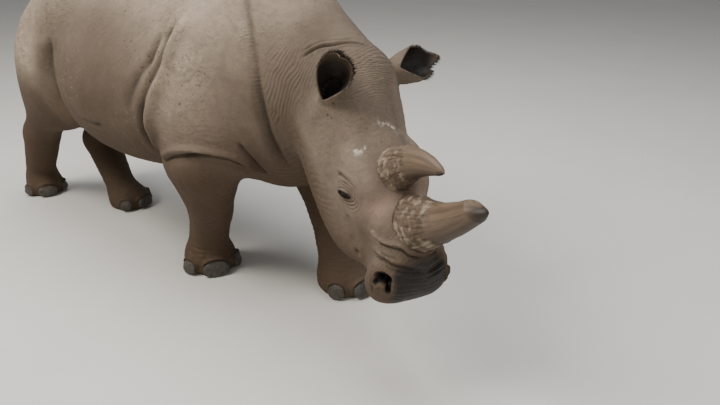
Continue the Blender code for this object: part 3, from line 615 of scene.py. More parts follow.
def ear_inside(points):
    """How far each point lies in an ear's hollow, on an ear at all, deep in the hollow where painted shade is
    laid, and in its middle.
    """
    inside, on_ear, deep, core = np.zeros((4, len(points)))
    for name in EARS:
        origin, axis, front, side = (np.array(v) for v in ear_axes(name))
        away = points - origin
        share = away @ axis / EAR_LENGTH[name]
        half_width, half_depth = ear_size(name, np.clip(share, 0.0, 1.0))
        across = (away @ side) / half_width
        forward = (away @ front - EAR_ARCH * share * share) / half_depth
        round_off = np.sqrt(across ** 2 + forward ** 2)
        depth_in = (1.0 - round_off) * 0.5 * (half_width + half_depth)
        within = ((share > 0.10) & (share < 1.06) & (round_off < 1.25)).astype(float)
        on_ear = np.maximum(on_ear, within * ramp(share, 0.10, 0.30))
        hollow = within * ramp(depth_in, EAR_WALL * 0.35, EAR_WALL * 0.75)
        hollow = hollow * (share > EAR_FLOOR[name] - 0.03)
        below_notch = ramp(forward, 0.10, 0.30) * ramp(share, EAR_NOTCH[name] + 0.10, EAR_NOTCH[name])
        middle = np.maximum(ramp(round_off, 0.78, 0.66), (1.0 - below_notch) * ramp(round_off, 0.93, 0.86))
        inside = np.maximum(inside, hollow)
        core = np.maximum(core, hollow * middle)
        # painted shade deep in the hollow
        deep = np.maximum(deep, hollow * ramp(share, *EAR_SHADE[name]))
    return inside, on_ear, deep, core


# ---------------------------------------------------------------- mesh helpers
def object_from(name, form):
    bmesh.ops.recalc_face_normals(form, faces=form.faces)
    mesh = bpy.data.meshes.new(name)
    form.to_mesh(mesh)
    form.free()
    made = bpy.data.objects.new(name, mesh)
    bpy.context.scene.collection.objects.link(made)
    return made


def loft(name, rings):
    """Closed skin over rings of points that all have the same count."""
    form = bmesh.new()
    rows = [[form.verts.new(point) for point in ring] for ring in rings]
    count = len(rows[0])
    for first, second in zip(rows, rows[1:]):
        for i in range(count):
            j = (i + 1) % count
            form.faces.new((first[i], first[j], second[j], second[i]))
    form.faces.new(rows[0][::-1])
    form.faces.new(rows[-1])
    return object_from(name, form)


def evaluated(item):
    """The object with its modifiers applied."""
    graph = bpy.context.evaluated_depsgraph_get()
    graph.update()
    mesh = bpy.data.meshes.new_from_object(item.evaluated_get(graph))
    old = item.data
    item.modifiers.clear()
    item.data = mesh
    bpy.data.meshes.remove(old)
    return item


def read(items, key, width=3, kind=float):
    """One value of every vertex, edge or face, as rows."""
    values = np.empty(len(items) * width, dtype=kind)
    items.foreach_get(key, values)
    return values.reshape(-1, width)


def points_of(mesh):
    return read(mesh.vertices, "co")


def set_points(mesh, points):
    mesh.vertices.foreach_set("co", points.ravel())
    mesh.update()


def edges_of(mesh):
    return read(mesh.edges, "vertices", 2, np.int64)


def relaxed(points, edges, share, rounds):
    """Points moved towards the middle of their neighbours; share may differ from point to point."""
    count = np.zeros(len(points))
    for end in (0, 1):
        np.add.at(count, edges[:, end], 1.0)
    for _ in range(rounds):
        total = np.zeros_like(points)
        for axis in range(3):
            total[:, axis] = (np.bincount(edges[:, 0], points[edges[:, 1], axis], len(points))
                              + np.bincount(edges[:, 1], points[edges[:, 0], axis], len(points)))
        points = points + (total / np.maximum(count, 1.0)[:, None] - points) * np.reshape(share, (-1, 1))
    return points


def finer(mesh, chosen):
    """Splits the chosen faces' edges in two."""
    form = bmesh.new()
    form.from_mesh(mesh)
    form.faces.ensure_lookup_table()
    edges = {edge for i in np.nonzero(chosen)[0] for edge in form.faces[i].edges}
    bmesh.ops.subdivide_edges(form, edges=list(edges), cuts=1, use_grid_fill=True)
    form.to_mesh(mesh)
    form.free()


def rough_body(masses):
    """All masses as plain balls and tapered limbs, fused by a voxel remesh."""
    form = bmesh.new()
    for mass in masses:
        if mass["kind"] == "ball":
            place = (Matrix.Translation(mass["centre"]) @ mass["turn"].to_4x4()
                     @ Matrix.Diagonal(mass["radii"]).to_4x4())
            bmesh.ops.create_icosphere(form, subdivisions=4, radius=1.0, matrix=place)
            continue
        axis = mass["end"] - mass["start"]
        turn = axis.to_track_quat("Z", "Y").to_matrix().to_4x4()
        middle = Matrix.Translation((mass["start"] + mass["end"]) * 0.5)
        first, last = mass["radii"]
        flat = mass["flat"]
        bmesh.ops.create_cone(form, segments=32, radius1=first * flat, radius2=last * flat,
                              depth=axis.length, cap_ends=True, matrix=middle @ turn)
        for point, radius in ((mass["start"], first), (mass["end"], last)):
            bmesh.ops.create_icosphere(form, subdivisions=3, radius=radius * flat,
                                       matrix=Matrix.Translation(point))
    body = object_from("hide", form)
    remesh = body.modifiers.new("fuse", "REMESH")
    remesh.mode = "VOXEL"
    remesh.voxel_size = VOXEL
    return evaluated(body)


def joined_with(body, other):
    """Union of two closed meshes."""
    union = body.modifiers.new("join", "BOOLEAN")
    union.operation = "UNION"
    union.solver = "MANIFOLD"
    union.object = other
    evaluated(body)
    bpy.data.objects.remove(other, do_unlink=True)


# ---------------------------------------------------------------- the hide
NOSTRIL_PATHS = (
    # through the hollow, depth, half width
    (((0.797, 0.147, -0.140), (0.806, 0.139, -0.127), (0.818, 0.132, -0.122)), 0.036, 0.0180),
    (((0.818, 0.132, -0.122), (0.834, 0.130, -0.128), (0.854, 0.130, -0.148)), 0.022, 0.0095),
    (((0.796, 0.152, -0.146), (0.806, 0.156, -0.166)), 0.014, 0.0090),
)
NOSTRIL_RIM = ((0.812, 0.112, -0.100), (0.834, 0.112, -0.110), (0.862, 0.114, -0.138))


def eye_point(side, masses):
    """Where an eye lies on the face, and the way out of the face there."""
    start = on_head(EYE_AT[0], (EYE_AT[1] + 0.12) * side, EYE_AT[2])
    return surface_point(start, on_head(EYE_AT[0], 0.0, EYE_AT[2]), masses)


def eye_frame(side, masses):
    """Place of an eye, the way it looks, along its lids and up across them."""
    point, out = eye_point(side, masses)
    gaze = (out + ALONG * EYE_TILT[0] + UP * EYE_TILT[1]).normalized()
    along = HEAD_TURN @ Vector((0.90, 0.0, 0.44))
    along = (along - gaze * along.dot(gaze)).normalized()
    up = gaze.cross(along)
    return point, gaze, along, -up if up.z < 0.0 else up


def turned_sockets(points, masses):
    """Turns the hide round each eye towards the way the eye looks."""
    for side in (-1, 1):
        point, out = eye_point(side, masses)
        gaze = eye_frame(side, masses)[1]
        axis = np.array(out.cross(gaze).normalized())
        away = points - np.array(point)
        off = np.sqrt((away * away).sum(1))
        near = np.nonzero(off < SOCKET_REACH)[0]
        angle = (out.angle(gaze) * ramp(off[near], SOCKET_REACH, 0.024))[:, None]
        spoke = away[near]
        spoke = (spoke * np.cos(angle) + np.cross(axis, spoke) * np.sin(angle)
                 + axis * (spoke @ axis)[:, None] * (1.0 - np.cos(angle)))
        points[near] = np.array(point) + spoke
    return points


def face_relief(height, crease_shade, damp_and_shade, points, normals, masses):
    """Lids, rings round the eyes, nostrils, and creases of the face, with painted shade in their grooves and
    hollows.
    """
    head = head_measure(points)
    for side in (-1, 1):
        centre, out, along, up = eye_frame(side, masses)
        away = points - np.array(centre)
        u, v, w = away @ np.array(along), away @ np.array(up), away @ np.array(out)
        off = np.sqrt(u * u + v * v)
        close = np.nonzero((np.abs(w) < 0.09) & (off < 0.14))[0]
        u, v, off = u[close], v[close], off[close]
        mound = np.sqrt(np.maximum((EYE_BALL + LID) ** 2 - off ** 2, 0.0)) - EYE_DEPTH
        lids = np.maximum(mound, 0.0) + 0.0030 * hill(off, EYE_BALL, 0.009)
        half_open = np.where(v > 0.0, 0.0125, 0.0140)
        slit = np.sqrt((u / 0.0235) ** 2 + ((v + 0.001 + 6.0 * u * u) / half_open) ** 2)
        lids += 0.0030 * hill(slit, 1.26, 0.15) - 0.0020 * hill(slit, 1.62, 0.14)
        opening = ramp(slit, 1.06, 0.90)
        lids = lids * (1.0 - opening) - 0.020 * opening
        wobble = 0.0045 * noise(points[close], 0.032, 3, 2)
        span = np.sqrt(np.maximum(np.abs(u) - 0.014, 0.0) ** 2 + v * v) + wobble
        below = ramp(0.8 * u - v, -0.012, 0.030)
        above = 0.45 * ramp(v, 0.016, 0.028) * ramp(u, 0.055, 0.030)
        rings = np.abs(np.sin(pi * (span - 0.0215) / 0.0125)) ** 0.6 - 0.7
        fade = ramp(span, 0.020, 0.026) * ramp(span, 0.082, 0.050) * np.maximum(below, above)
        height[close] += lids + 0.0068 * rings * fade
        # painted shade in the rings' grooves and round the eye's opening
        raise_to(crease_shade, close, ramp(rings, -0.05, -0.60) * np.minimum(1.0, 1.6 * fade))
        raise_to(crease_shade, close, ramp(slit, 1.34, 1.04))
        # damp skin with painted shade round the lids' opening
        raise_to(damp_and_shade, close, ramp(slit, 1.42, 1.12))
        for path, depth, width in NOSTRIL_PATHS:
            line = [on_head(a, l * side, h) for a, l, h in path]
            near, distance = near_path(points, line, width * 6.0)[:2]
            height[near] -= depth * ramp(distance, width * 1.35, width * 0.45)
            height[near] += 0.0042 * hill(distance, width * 2.1, width * 0.8)
            # painted shade and damp skin in the nostril's hollow
            raise_to(crease_shade, near, ramp(distance, width * 1.4, width * 0.8))
            raise_to(damp_and_shade, near, ramp(distance, width * 1.4, width * 0.9))
        near, distance = near_path(points, [on_head(a, l * side, h) for a, l, h in NOSTRIL_RIM], 0.03)[:2]
        height[near] += 0.0042 * np.exp(-(distance / 0.0085) ** 2)
    add_folds(height, crease_shade, points, normals, HEAD_FOLDS, on_head)
    along, left, up = head.T
    crown = ramp(along, -0.10, -0.02) * ramp(along, 0.20, 0.08)
    crown = crown * ramp(np.abs(left), 0.15, 0.09) * ramp(up, -0.16, -0.05)
    snout = (ramp(along, 0.60, 0.70) * ramp(along, 0.86, 0.80) * ramp(up, -0.30, -0.22))
    lip = ramp(along, 0.80, 0.84) * ramp(up, -0.29, -0.25)
    jaw = ramp(along, 0.0, 0.12) * ramp(along, 0.62, 0.40) * ramp(up, -0.22, -0.36)
    fan = hill(along, 0.145, 0.05) * hill(np.abs(left), 0.165, 0.05) * hill(up, -0.13, 0.07)
    add_creases(height, head, (
        (crown, 0.0022, (1.0, 0.0, 0.25), 0.0105, 7, 1.1, 0.05),
        (snout, 0.0016, (1.0, 0.0, 0.45), 0.0140, 8, 1.2, 0.05),
        (lip, 0.0016, (0.55, 0.0, -1.0), 0.0210, 9, 1.2, 0.09),
        (jaw, 0.0030, (0.75, 0.0, -0.66), 0.026, 10, 1.5, 0.11),
        (fan, 0.0034, (0.25, 0.0, 1.0), 0.0115, 11, 0.9, 0.05)))
    return head


def body_relief(height, crease_shade, points, normals):
    """Folds and creases of neck, trunk and legs, and the lie of muscle and fat."""
    add_folds(height, crease_shade, points, normals, BODY_FOLDS, lambda *place: place)
    x, y, z = points.T
    head = head_measure(points)
    not_head = ramp(head[:, 0], 0.06, -0.06)
    height += 0.0050 * noise(points, 0.22, 21, 2) * not_head
    neck = ramp(x, 1.02, 1.10) * not_head * ramp(z, 1.40, 1.20)
    throat = ramp(x, 1.06, 1.14) * not_head * ramp(z, 1.10, 0.95)
    shoulder = hill(x, 0.62, 0.30) * hill(z, 0.83, 0.12) * ramp(np.abs(y), 0.25, 0.36)
    blade = hill(x, 0.56, 0.20) * hill(z, 1.12, 0.20) * ramp(np.abs(y), 0.30, 0.40)
    flank = hill(x, -0.46, 0.16) * ramp(z, 1.25, 1.05) * ramp(z, 0.55, 0.75) * ramp(np.abs(y), 0.25, 0.36)
    add_creases(height, points, (
        (neck, 0.0042, (0.92, 0.0, -0.40), 0.019, 22, 1.3, 0.10),
        (throat, 0.0050, (0.85, 0.0, -0.53), 0.031, 23, 1.4, 0.14),
        (shoulder, 0.0030, (0.12, 0.0, 1.0), 0.020, 24, 1.5, 0.08),
        (blade, 0.0022, (1.0, 0.0, 0.35), 0.030, 25, 1.8, 0.09),
        (flank, 0.0050, (1.0, 0.0, 0.25), 0.048, 26, 1.3, 0.16)))
    ribs = hill(x, -0.02, 0.36) * hill(z, 1.02, 0.22)
    height += 0.0045 * ribs * noise(points * np.array((1.0, 1.0, 0.35)), 0.060, 27)
    belly = ramp(z, 0.78, 0.60) * ramp(np.abs(x), 0.9, 0.6)
    height += 0.0030 * belly * creases(points, (1.0, 0.0, 0.0), 0.055, 28, 1.6, 0.15)
    for leg in LEGS.values():
        close = ramp(np.sqrt(square_apart(points[:, :2], leg["foot"])), 0.34, 0.24)
        ankle = close * ramp(z, 0.10, 0.15) * ramp(z, 0.36, 0.26)
        height += 0.0032 * ankle * creases(points, (0.10, 0.05, 1.0), 0.021, 29, 1.2, 0.08)
        pads = close * ramp(z, 0.11, 0.07)
        height += 0.0022 * pads * noise(points, 0.020, 30, 2)
        near_knee = np.exp(-square_apart(points, leg["knee"]) / 0.16 ** 2)
        height += 0.0030 * near_knee * creases(points, (0.15, 0.05, 1.0), 0.026, 31, 1.4, 0.10)
    height += 0.0010 * noise(points * np.array((1.0, 1.0, 0.8)), 0.020, 32, 2)


def markings(points, crease_shade, damp_and_shade, head, inside, deep):
    """Shares from 0 to 1: earth with painted shade, dust with painted light, bare pink and painted shade in
    the folds as one colour, then damp skin with painted shade deep in the ears, and what is chalky.
    """
    x, y, z = points.T
    along, left, up = head.T
    mottle = noise(points, 0.20, 41, 3)
    fine = noise(points, 0.035, 42, 2)
    on_face = ramp(along, -0.10, 0.06) * ramp(x, 1.15, 1.28)
    off_face = 1.0 - on_face
    neck = hill(x, 1.06, 0.16) * off_face * ramp(z, 1.50, 1.30)
    earth_and_shade = np.maximum.reduce((
        0.95 * ramp(z + 0.08 * mottle, 1.02, 0.58) * off_face,                             # dried earth on the legs and belly, with painted shade and ground bounce low on the body
        0.80 * on_face * ramp(up + 0.03 * mottle, -0.24, -0.42),                           # painted shade under the jaw
        0.45 * (ramp(x, 0.98, 1.15) * off_face * ramp(z, 1.20, 0.95)),                     # painted shade under the throat
        0.48 * hill(x, 0.02, 0.38) * ramp(z, 1.48, 1.22) * (0.8 + 0.5 * mottle),           # painted shade on the flank and ribs
        # painted shade on the neck
        0.30 * neck * (0.9 + 0.4 * mottle)))
    # painted light: less earth on the far side's legs and belly, against the shade that falls there
    earth_and_shade = earth_and_shade * (1.0 - 0.22 * ramp(y, 0.04, 0.16) * ramp(z, 0.80, 0.60))
    earth_and_shade = np.maximum.reduce((
        earth_and_shade,
        0.80 * (on_face * ramp(along + 0.02 * fine, 0.70, 0.80)),                          # dark skin low on the nose, with painted shadow of the front horn
        0.75 * inside,                                                                     # painted shade in the ears' hollows
        0.22 * on_face * hill(along, 0.62, 0.14)))                                         # painted shade on the bridge
    pad_edge = up + 0.9 * (along - 0.80) * ramp(along, 0.80, 0.78) + 0.010 * fine
    pad = ramp(along + 0.010 * fine, 0.762, 0.822) * ramp(pad_edge, -0.235, -0.195)
    pad = pad * ramp(np.abs(left) + 0.008 * fine, 0.122, 0.096)
    # damp nose pad, and painted shade deep in the ears' hollows
    damp_and_shade = np.clip(np.maximum(damp_and_shade, np.maximum(pad, 0.94 * deep)), 0.0, 1.0)
    back = 0.85 * ramp(z + 0.12 * mottle, 0.98, 1.40) * off_face * ramp(x, 1.25, 0.95)
    cheek = on_face * ramp(along, -0.02, 0.12) * ramp(along, 0.72, 0.58) * ramp(np.abs(left), 0.06, 0.13)
    dust_and_light = np.maximum.reduce((
        # dust on the back, taken off the flank as painted shade
        back * (1.0 - 0.85 * hill(x, -0.12, 0.34) * ramp(z, 1.50, 1.28)),
        hill(x, 0.60, 0.24) * hill(z, 1.10, 0.32),                                         # shoulder
        ramp(x, -0.58, -0.76) * ramp(z, 0.78, 1.06),                                       # rump: dust raised as painted light from above
        cheek * ramp(up, -0.34, -0.22) * 0.36,
        on_face * 0.06))
    dust_and_light = np.clip(dust_and_light + 0.10 * fine, 0.0, 1.0)
    streak = hill(along - 0.45 * left - 0.245, 0.0, 0.012 + 0.006 * fine) * hill(left, 0.03, 0.045)
    scuff = hill(along, 0.325, 0.016) * hill(left, -0.115, 0.030)
    scuffs = on_face * np.maximum(streak, scuff) * ramp(noise(points, 0.014, 44, 2), -0.15, 0.20)
    chalk = np.clip(0.75 * scuffs * ramp(up, -0.16, -0.10), 0.0, 1.0)
    pink = np.maximum.reduce((
        on_face * hill(along, 0.56, 0.05) * ramp(up, -0.16, -0.08),                        # between the horns
        0.35 * hill(x, 0.66, 0.14) * hill(z, 0.96, 0.12),                                  # shoulder
        0.35 * on_face * hill(along, 0.50, 0.10) * hill(np.abs(left), 0.13, 0.04)))        # under the eye
    shares = (np.clip(earth_and_shade, 0.0, 1.0), dust_and_light * (1.0 - inside), np.clip(pink, 0.0, 1.0),
              np.clip(crease_shade, 0.0, 1.0))
    return np.stack(shares, axis=1), damp_and_shade, chalk


def shift_to_frame(masses):
    """Way from the body's own axes to the frame's, read off the right eye."""
    low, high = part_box("eye_right")
    point, out = eye_point(-1, masses)
    return (low + high) * 0.5 - (point - out * (EYE_RADIUS * EYE_SUNK))


def nail_frame(leg, toe, masses):
    """Middle of a nail, its heading and its half sizes."""
    angle, half_width, half_height = NAILS[toe]
    share = 1.0 if leg["fore"] else HIND_NAILS
    if toe == "middle":
        half_width *= NAIL_BROAD
    heading = radians(leg["turn"] + angle * leg["side"])
    ahead = Vector((cos(heading), sin(heading), 0.0))
    middle = Vector((leg["foot"][0], leg["foot"][1], 0.042))
    point, _ = surface_point(middle + ahead * 0.30, middle, masses)
    turn = Matrix.Rotation(heading, 3, "Z") @ Matrix.Rotation(radians(NAIL_TILT), 3, "Y")
    return point - ahead * 0.011, turn, (NAIL_DEPTH * 0.80, half_width * share, half_height * share)


def nail_beds(height, crease_shade, points, masses):
    """A soft roll of hide round each nail, with painted shade in the crease at its edge."""
    for leg in LEGS.values():
        for toe in NAILS:
            centre, turn, sizes = nail_frame(leg, toe, masses)
            near = np.nonzero(square_apart(points, centre) < NAIL_BED ** 2)[0]
            local = (points[near] - np.array(centre)) @ np.array(turn) / np.array(sizes)
            across = np.sqrt(local[:, 1] ** 2 + local[:, 2] ** 2)
            front = ramp(local[:, 0], -0.9, -0.2)
            height[near] += front * (0.0120 * hill(across, 1.18, 0.17) - 0.004 * hill(across, 0.98, 0.07))
            # painted shade in the crease round the nail
            raise_to(crease_shade, near, front * hill(across, 0.99, 0.08))


def outlying(points):
    """Which points get a finer mesh: fore part, then head, then the places round eyes and nostrils."""
    fore = points[:, 0] > 0.26
    face = (head_measure(points)[:, 0] > -0.22) & (square_apart(points, on_head(0.4, 0.0, -0.15)) < 0.72 ** 2)
    small = np.zeros(len(points), dtype=bool)
    for side in (-1, 1):
        for place, reach in (((EYE_AT[0] + 0.012, 0.165 * side, EYE_AT[2]), 0.060),
                             ((0.815, 0.135 * side, -0.132), 0.062)):
            small |= square_apart(points, on_head(*place)) < reach ** 2
    return fore, face, small


def build_hide(looks):
    """One skin over the masses and the ears, with its relief and markings."""
    masses = all_masses()
    body = rough_body(masses)
    mesh = body.data
    edges = edges_of(mesh)
    points = points_of(mesh)
    for rounds in (6, 3, 1):
        points = pulled_onto_form(relaxed(points, edges, 0.5, rounds), masses, 2)
    set_points(mesh, points)
    for level in range(3):
        finer(mesh, outlying(read(mesh.polygons, "center"))[level])
        set_points(mesh, pulled_onto_form(points_of(mesh), masses, 1))
    for name in EARS:
        joined_with(body, ear_shell(name))
    mesh = body.data
    points = points_of(mesh)
    inside, on_ear, deep, core = ear_inside(points)
    depth = np.abs(flesh(points, masses))
    free_ear = on_ear * ramp(depth, 0.0008, 0.003)
    plug = ramp(core, 0.85, 1.0) * (1.0 - free_ear)
    hollow = np.maximum(free_ear, core)
    seam = np.zeros(len(points))
    for name in EARS:
        origin, axis, _, _ = ear_axes(name)
        share = (points - np.array(origin)) @ np.array(axis) / EAR_LENGTH[name]
        near = ramp(np.sqrt(square_apart(points, origin)), 0.115, 0.085)
        seam = np.maximum(seam, near * ramp(np.abs(share - 0.22), 0.22, 0.10) * (1.0 - inside))
    points = turned_sockets(relaxed(points, edges_of(mesh), 0.5 * seam, 14), masses)
    set_points(mesh, points)
    height, crease_shade, damp_and_shade = (np.zeros(len(points)) for _ in range(3))
    normals = read(mesh.vertices, "normal")
    head = face_relief(height, crease_shade, damp_and_shade, points, normals, masses)
    body_relief(height, crease_shade, points, normals)
    nail_beds(height, crease_shade, points, masses)
    height *= looks.fold_depth * (1.0 - free_ear)
    crease_shade *= 1.0 - free_ear
    height += free_ear * 0.0012 * noise(points, 0.016, 51, 2)
    points = points + normals * (height - EAR_PLUG * plug)[:, None]
    points[:, 2] = np.maximum(points[:, 2], 0.0)
    shares, damp_and_shade, chalk = markings(points, crease_shade, damp_and_shade, head, inside * hollow, deep * hollow)
    set_points(mesh, points + np.array(shift_to_frame(masses)))
    paint(mesh, shares)
    for kind, share in (("damp_and_shade", damp_and_shade), ("chalk", chalk)):
        mesh.attributes.new(kind, "FLOAT", "POINT").data.foreach_set("value", share.astype(np.float32))
    finish_piece(body, "hide", hide_material(looks))
    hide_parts("trunk", "neck", "head", "tail", *["leg_" + name for name in LEGS], *EARS)
    return body


def paint(mesh, shares, name="markings"):
    layer = mesh.color_attributes.new(name, "FLOAT_COLOR", "POINT")
    layer.data.foreach_set("color", np.asarray(shares, dtype=np.float32).ravel())


def finish_piece(piece, name, material):
    piece.name = name
    piece.data.materials.clear()
    piece.data.materials.append(material)
    piece.data.polygons.foreach_set("use_smooth", [True] * len(piece.data.polygons))
    piece.data.update()
    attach(piece, "root")


# ---------------------------------------------------------------- horns
def horn_piece(name, sizes, seed, around=150, levels=210):
    """A horn with a fibrous foot and a worn, smooth upper part."""
    shares, lengths, widths = zip(*sizes["girth"])
    point = np.array(on_head(*sizes["base"]))
    step = sizes["length"] * HEAD_SCALE / (levels - 1)
    angle = np.linspace(0.0, 2 * pi, around, endpoint=False)
    share = np.linspace(0.0, 1.0, levels)
    rows, outs = [], []
    for part in share:
        tilt = radians(sizes["lean"] + sizes["bend"] * part)
        rise = np.array(UP * cos(tilt) + ALONG * sin(tilt))
        forward = np.array(ALONG * cos(tilt) - UP * sin(tilt))
        close = max(0.0, 1.0 - (max(0.0, part - 0.94) / 0.0605) ** 3.0) ** 0.55
        half_long, half_wide = (np.interp(part, shares, halves) * HEAD_SCALE * close
                                for halves in (lengths, widths))
        out = np.outer(np.cos(angle), forward) + np.outer(np.sin(angle), np.array(LEFT))
        slant = sizes["slant"] * float(ramp(np.array(part), 0.84, 1.0))
        rows.append(point + np.outer(np.cos(angle) * half_long, forward)
                    + np.outer(np.sin(angle) * half_wide, np.array(LEFT))
                    + np.outer(np.cos(angle) * slant * close, rise))
        outs.append(out)
        point = point + rise * step
    points, outs = np.concatenate(rows), np.concatenate(outs)
    turn = np.tile(angle, levels)
    part = np.repeat(share, around)
    rolled_out = part * sizes["length"] * 0.10
    fibre_place = np.stack((np.cos(turn) * 0.085, np.sin(turn) * 0.085, rolled_out), axis=1)
    edge = HORN_ROUGH + 0.10 * noise(points, 0.055, seed + 1, 2)
    foot = ramp(part, edge + 0.07, edge - 0.05)
    fibre = noise(fibre_place, 0.0065, seed, 2)
    crust = noise(points, 0.034, seed + 2, 3)
    chips = ramp(noise(points * np.array((1.0, 1.0, 0.7)), 0.018, seed + 3, 2), 0.0, 0.30)
    height = foot * (0.0030 * fibre + 0.0030 * crust + 0.0016 * chips)
    height += (1.0 - foot) * (0.0006 * fibre + 0.0020 * noise(points, 0.070, seed + 4))
    height += 0.0050 * ramp(part, 0.07, 0.0) * (0.6 + noise(points, 0.026, seed + 5, 2))
    height *= ramp(part, 1.0, 0.94)
    points = points + outs * height[:, None]
    horn = loft(name, points.reshape(levels, around, 3))
    # dark worn tip, drawn down the lower side as painted shade
    worn_end_and_shade = part + 0.07 * np.cos(turn) + 0.03 * noise(points, 0.04, seed + 6, 2)
    dark_tip_and_shade = 0.90 * ramp(worn_end_and_shade, 0.90, 1.0)
    # painted shade along the horn's underside
    underside_shade = np.cos(turn) * ramp(part, 0.25, 0.45)
    dark_tip_and_shade = np.maximum(dark_tip_and_shade, 0.62 * ramp(underside_shade, 0.2, 0.95))
    pale = 0.75 * foot * ramp(crust + 0.5 * chips - 0.20, 0.0, 0.50)
    cracks_and_shade = foot * np.maximum(0.5 * ramp(crust, -0.15, -0.45), 0.7 * ramp(fibre, 0.0, -0.45))
    # painted shade in a ring where the horn's foot meets the hide
    cracks_and_shade = np.maximum(cracks_and_shade, ramp(part, 0.035, 0.012))
    paint(horn.data, np.stack((dark_tip_and_shade, foot, pale, np.clip(cracks_and_shade, 0.0, 1.0)), axis=1))
    paint(horn.data, np.concatenate((fibre_place, np.ones((len(points), 1))), axis=1), "fibre")
    return horn


# ---------------------------------------------------------------- eyes and nails
def eye_piece(name, side, masses, shift):
    """Eyeball with a slightly raised clear front."""
    point, out = eye_frame(side, masses)[:2]
    centre = point - out * EYE_DEPTH
    form = bmesh.new()
    turn = out.to_track_quat("Z", "Y").to_matrix().to_4x4()
    bmesh.ops.create_uvsphere(form, u_segments=64, v_segments=48, radius=EYE_BALL)
    tops = []
    for vert in form.verts:
        off = degrees(vert.co.angle(Vector((0.0, 0.0, 1.0)), 0.0))
        vert.co *= 1.0 + 0.045 * float(ramp(np.array(off), 38.0, 10.0))
        tops.append(off)
    form.transform(Matrix.Translation(centre + shift) @ turn)
    eye = object_from(name, form)
    off = np.array(tops)
    speckle = noise(points_of(eye.data), 0.003, 61, 2)
    iris = ramp(off, 41.0, 37.0)
    pupil = ramp(off, 17.0, 15.0)
    paint(eye.data, np.stack((pupil, iris, 0.5 + 0.5 * speckle, np.ones(len(off))), axis=1))
    return eye


def nail_piece(name, leg, toe, masses, shift):
    """Thick, worn nail with growth ridges."""
    centre, turn, sizes = nail_frame(leg, toe, masses)
    form = bmesh.new()
    bmesh.ops.create_uvsphere(form, u_segments=56, v_segments=40, radius=1.0)
    verts = np.array([vert.co[:] for vert in form.verts])
    low = ramp(verts[:, 2], 0.3, -0.6)
    shield = np.sign(verts) * np.abs(verts) ** np.array((0.62, 0.86, 0.86))
    widening = 1.0 + 0.10 * low - 0.10 * ramp(verts[:, 2], 0.1, 1.0)
    place = shield * np.array(sizes) * np.stack((1.0 + 0.08 * low, widening, np.ones(len(low))), axis=1)
    seed = 71 + len(name)
    ridges = (0.0013 * np.sin(place[:, 2] / 0.0014 + 3.0 * noise(place, 0.03, seed))
              + 0.0022 * hill(place[:, 2], 0.020, 0.0035) + 0.0018 * hill(place[:, 2], 0.008, 0.003)
              + 0.0012 * noise(place * np.array((1.0, 1.0, 0.2)), 0.006, seed + 1, 2)
              + 0.0022 * noise(place, 0.022, seed + 2))
    place = place + verts * ridges[:, None]
    placed = place @ np.array(turn).T + np.array(centre)
    chipped = NAIL_CLEAR + 0.002 * (1.0 + noise(placed, 0.012, seed + 3))
    placed[:, 2] = np.maximum(placed[:, 2], chipped)
    for vert, spot in zip(form.verts, placed + np.array(shift)):
        vert.co = spot
    nail = object_from(name, form)
    worn = ramp(placed[:, 2], 0.030, 0.006)
    paint(nail.data, np.stack((worn, ridges / 0.004 + 0.5, low, np.ones(len(low))), axis=1))
    return nail


# ---------------------------------------------------------------- hair
def tuft_piece(name, tufts, sides=3, joints=4):
    """Many tapering tufts as one mesh; each has its own small patch of the mesh's unwrap."""
    form = bmesh.new()
    layer = form.loops.layers.uv.new("OFBake")
    for root, way, droop, length, width, patch in tufts:
        aside = way.orthogonal().normalized()
        other = way.cross(aside).normalized()
        rings = []
        for i in range(joints):
            t = i / (joints - 1)
            centre = root + way * (length * t) + droop * (length * t * t)
            radius = width * (1.0 - 0.88 * t)
            rings.append([form.verts.new(centre + aside * (radius * cos(2 * pi * k / sides))
                                         + other * (radius * sin(2 * pi * k / sides)))
                          for k in range(sides)])
        faces = [form.faces.new(rings[0][::-1]), form.faces.new(rings[-1])]
        for low, high in zip(rings, rings[1:]):
            for k in range(sides):
                n = (k + 1) % sides
                faces.append(form.faces.new((low[k], low[n], high[n], high[k])))
        spots = {vert: (row / (joints - 1), k / sides) for row, ring in enumerate(rings)
                 for k, vert in enumerate(ring)}
        for face in faces:
            for loop in face.loops:
                row, k = spots[loop.vert]
                loop[layer].uv = (patch[0] + 0.003 * k, patch[1] + 0.003 * row)
    return object_from(name, form)


def scatter(count, seed):
    """Even shares from 0 to 1, each with two unrelated numbers from 0 to 1."""
    spots = np.arange(count)
    first = (spots + 0.5) / count
    second = np.modf(np.abs(np.sin(spots * 12.9898 + seed) * 43758.5453))[0]
    third = np.modf(np.abs(np.sin(spots * 78.233 + seed) * 24634.6345))[0]
    return zip(first, second, third)


def ear_fringe(name, count, length, shift):
    _, axis, front, side = ear_axes(name)
    tufts = []
    for place, chance, other in scatter(count, 3.0 if name == "ear_right" else 9.0):
        angle = 2 * pi * (0.10 + 0.80 * place)
        high = ramp(np.array(ear_rim(name, angle)), 0.45, 0.80)
        if chance > 0.25 + 0.75 * high:
            continue
        spot = ear_rim(name, angle) - 0.012 - 0.03 * other
        root = ear_place(name, angle, spot, EAR_WALL * (0.15 + 0.7 * chance)) + shift
        out = (side * sin(angle) + front * cos(angle)).normalized()
        tangent = (front * sin(angle) - side * cos(angle)).normalized()
        way = (axis * 0.75 + out * (0.35 - 0.6 * chance) + tangent * (0.7 * (other - 0.5))).normalized()
        size = length * (0.45 + 0.55 * other) * (0.5 + 0.5 * float(high))
        droop = Vector((0.0, 0.0, -0.10)) + out * 0.12
        patch = (0.05 + 0.40 * angle / (2 * pi) + (0.5 if name == "ear_left" else 0.0), 0.62 + 0.3 * spot)
        tufts.append((root, way, droop, size, 0.0011 + 0.0007 * chance, patch))
    return tuft_piece(name + "_fringe", tufts)


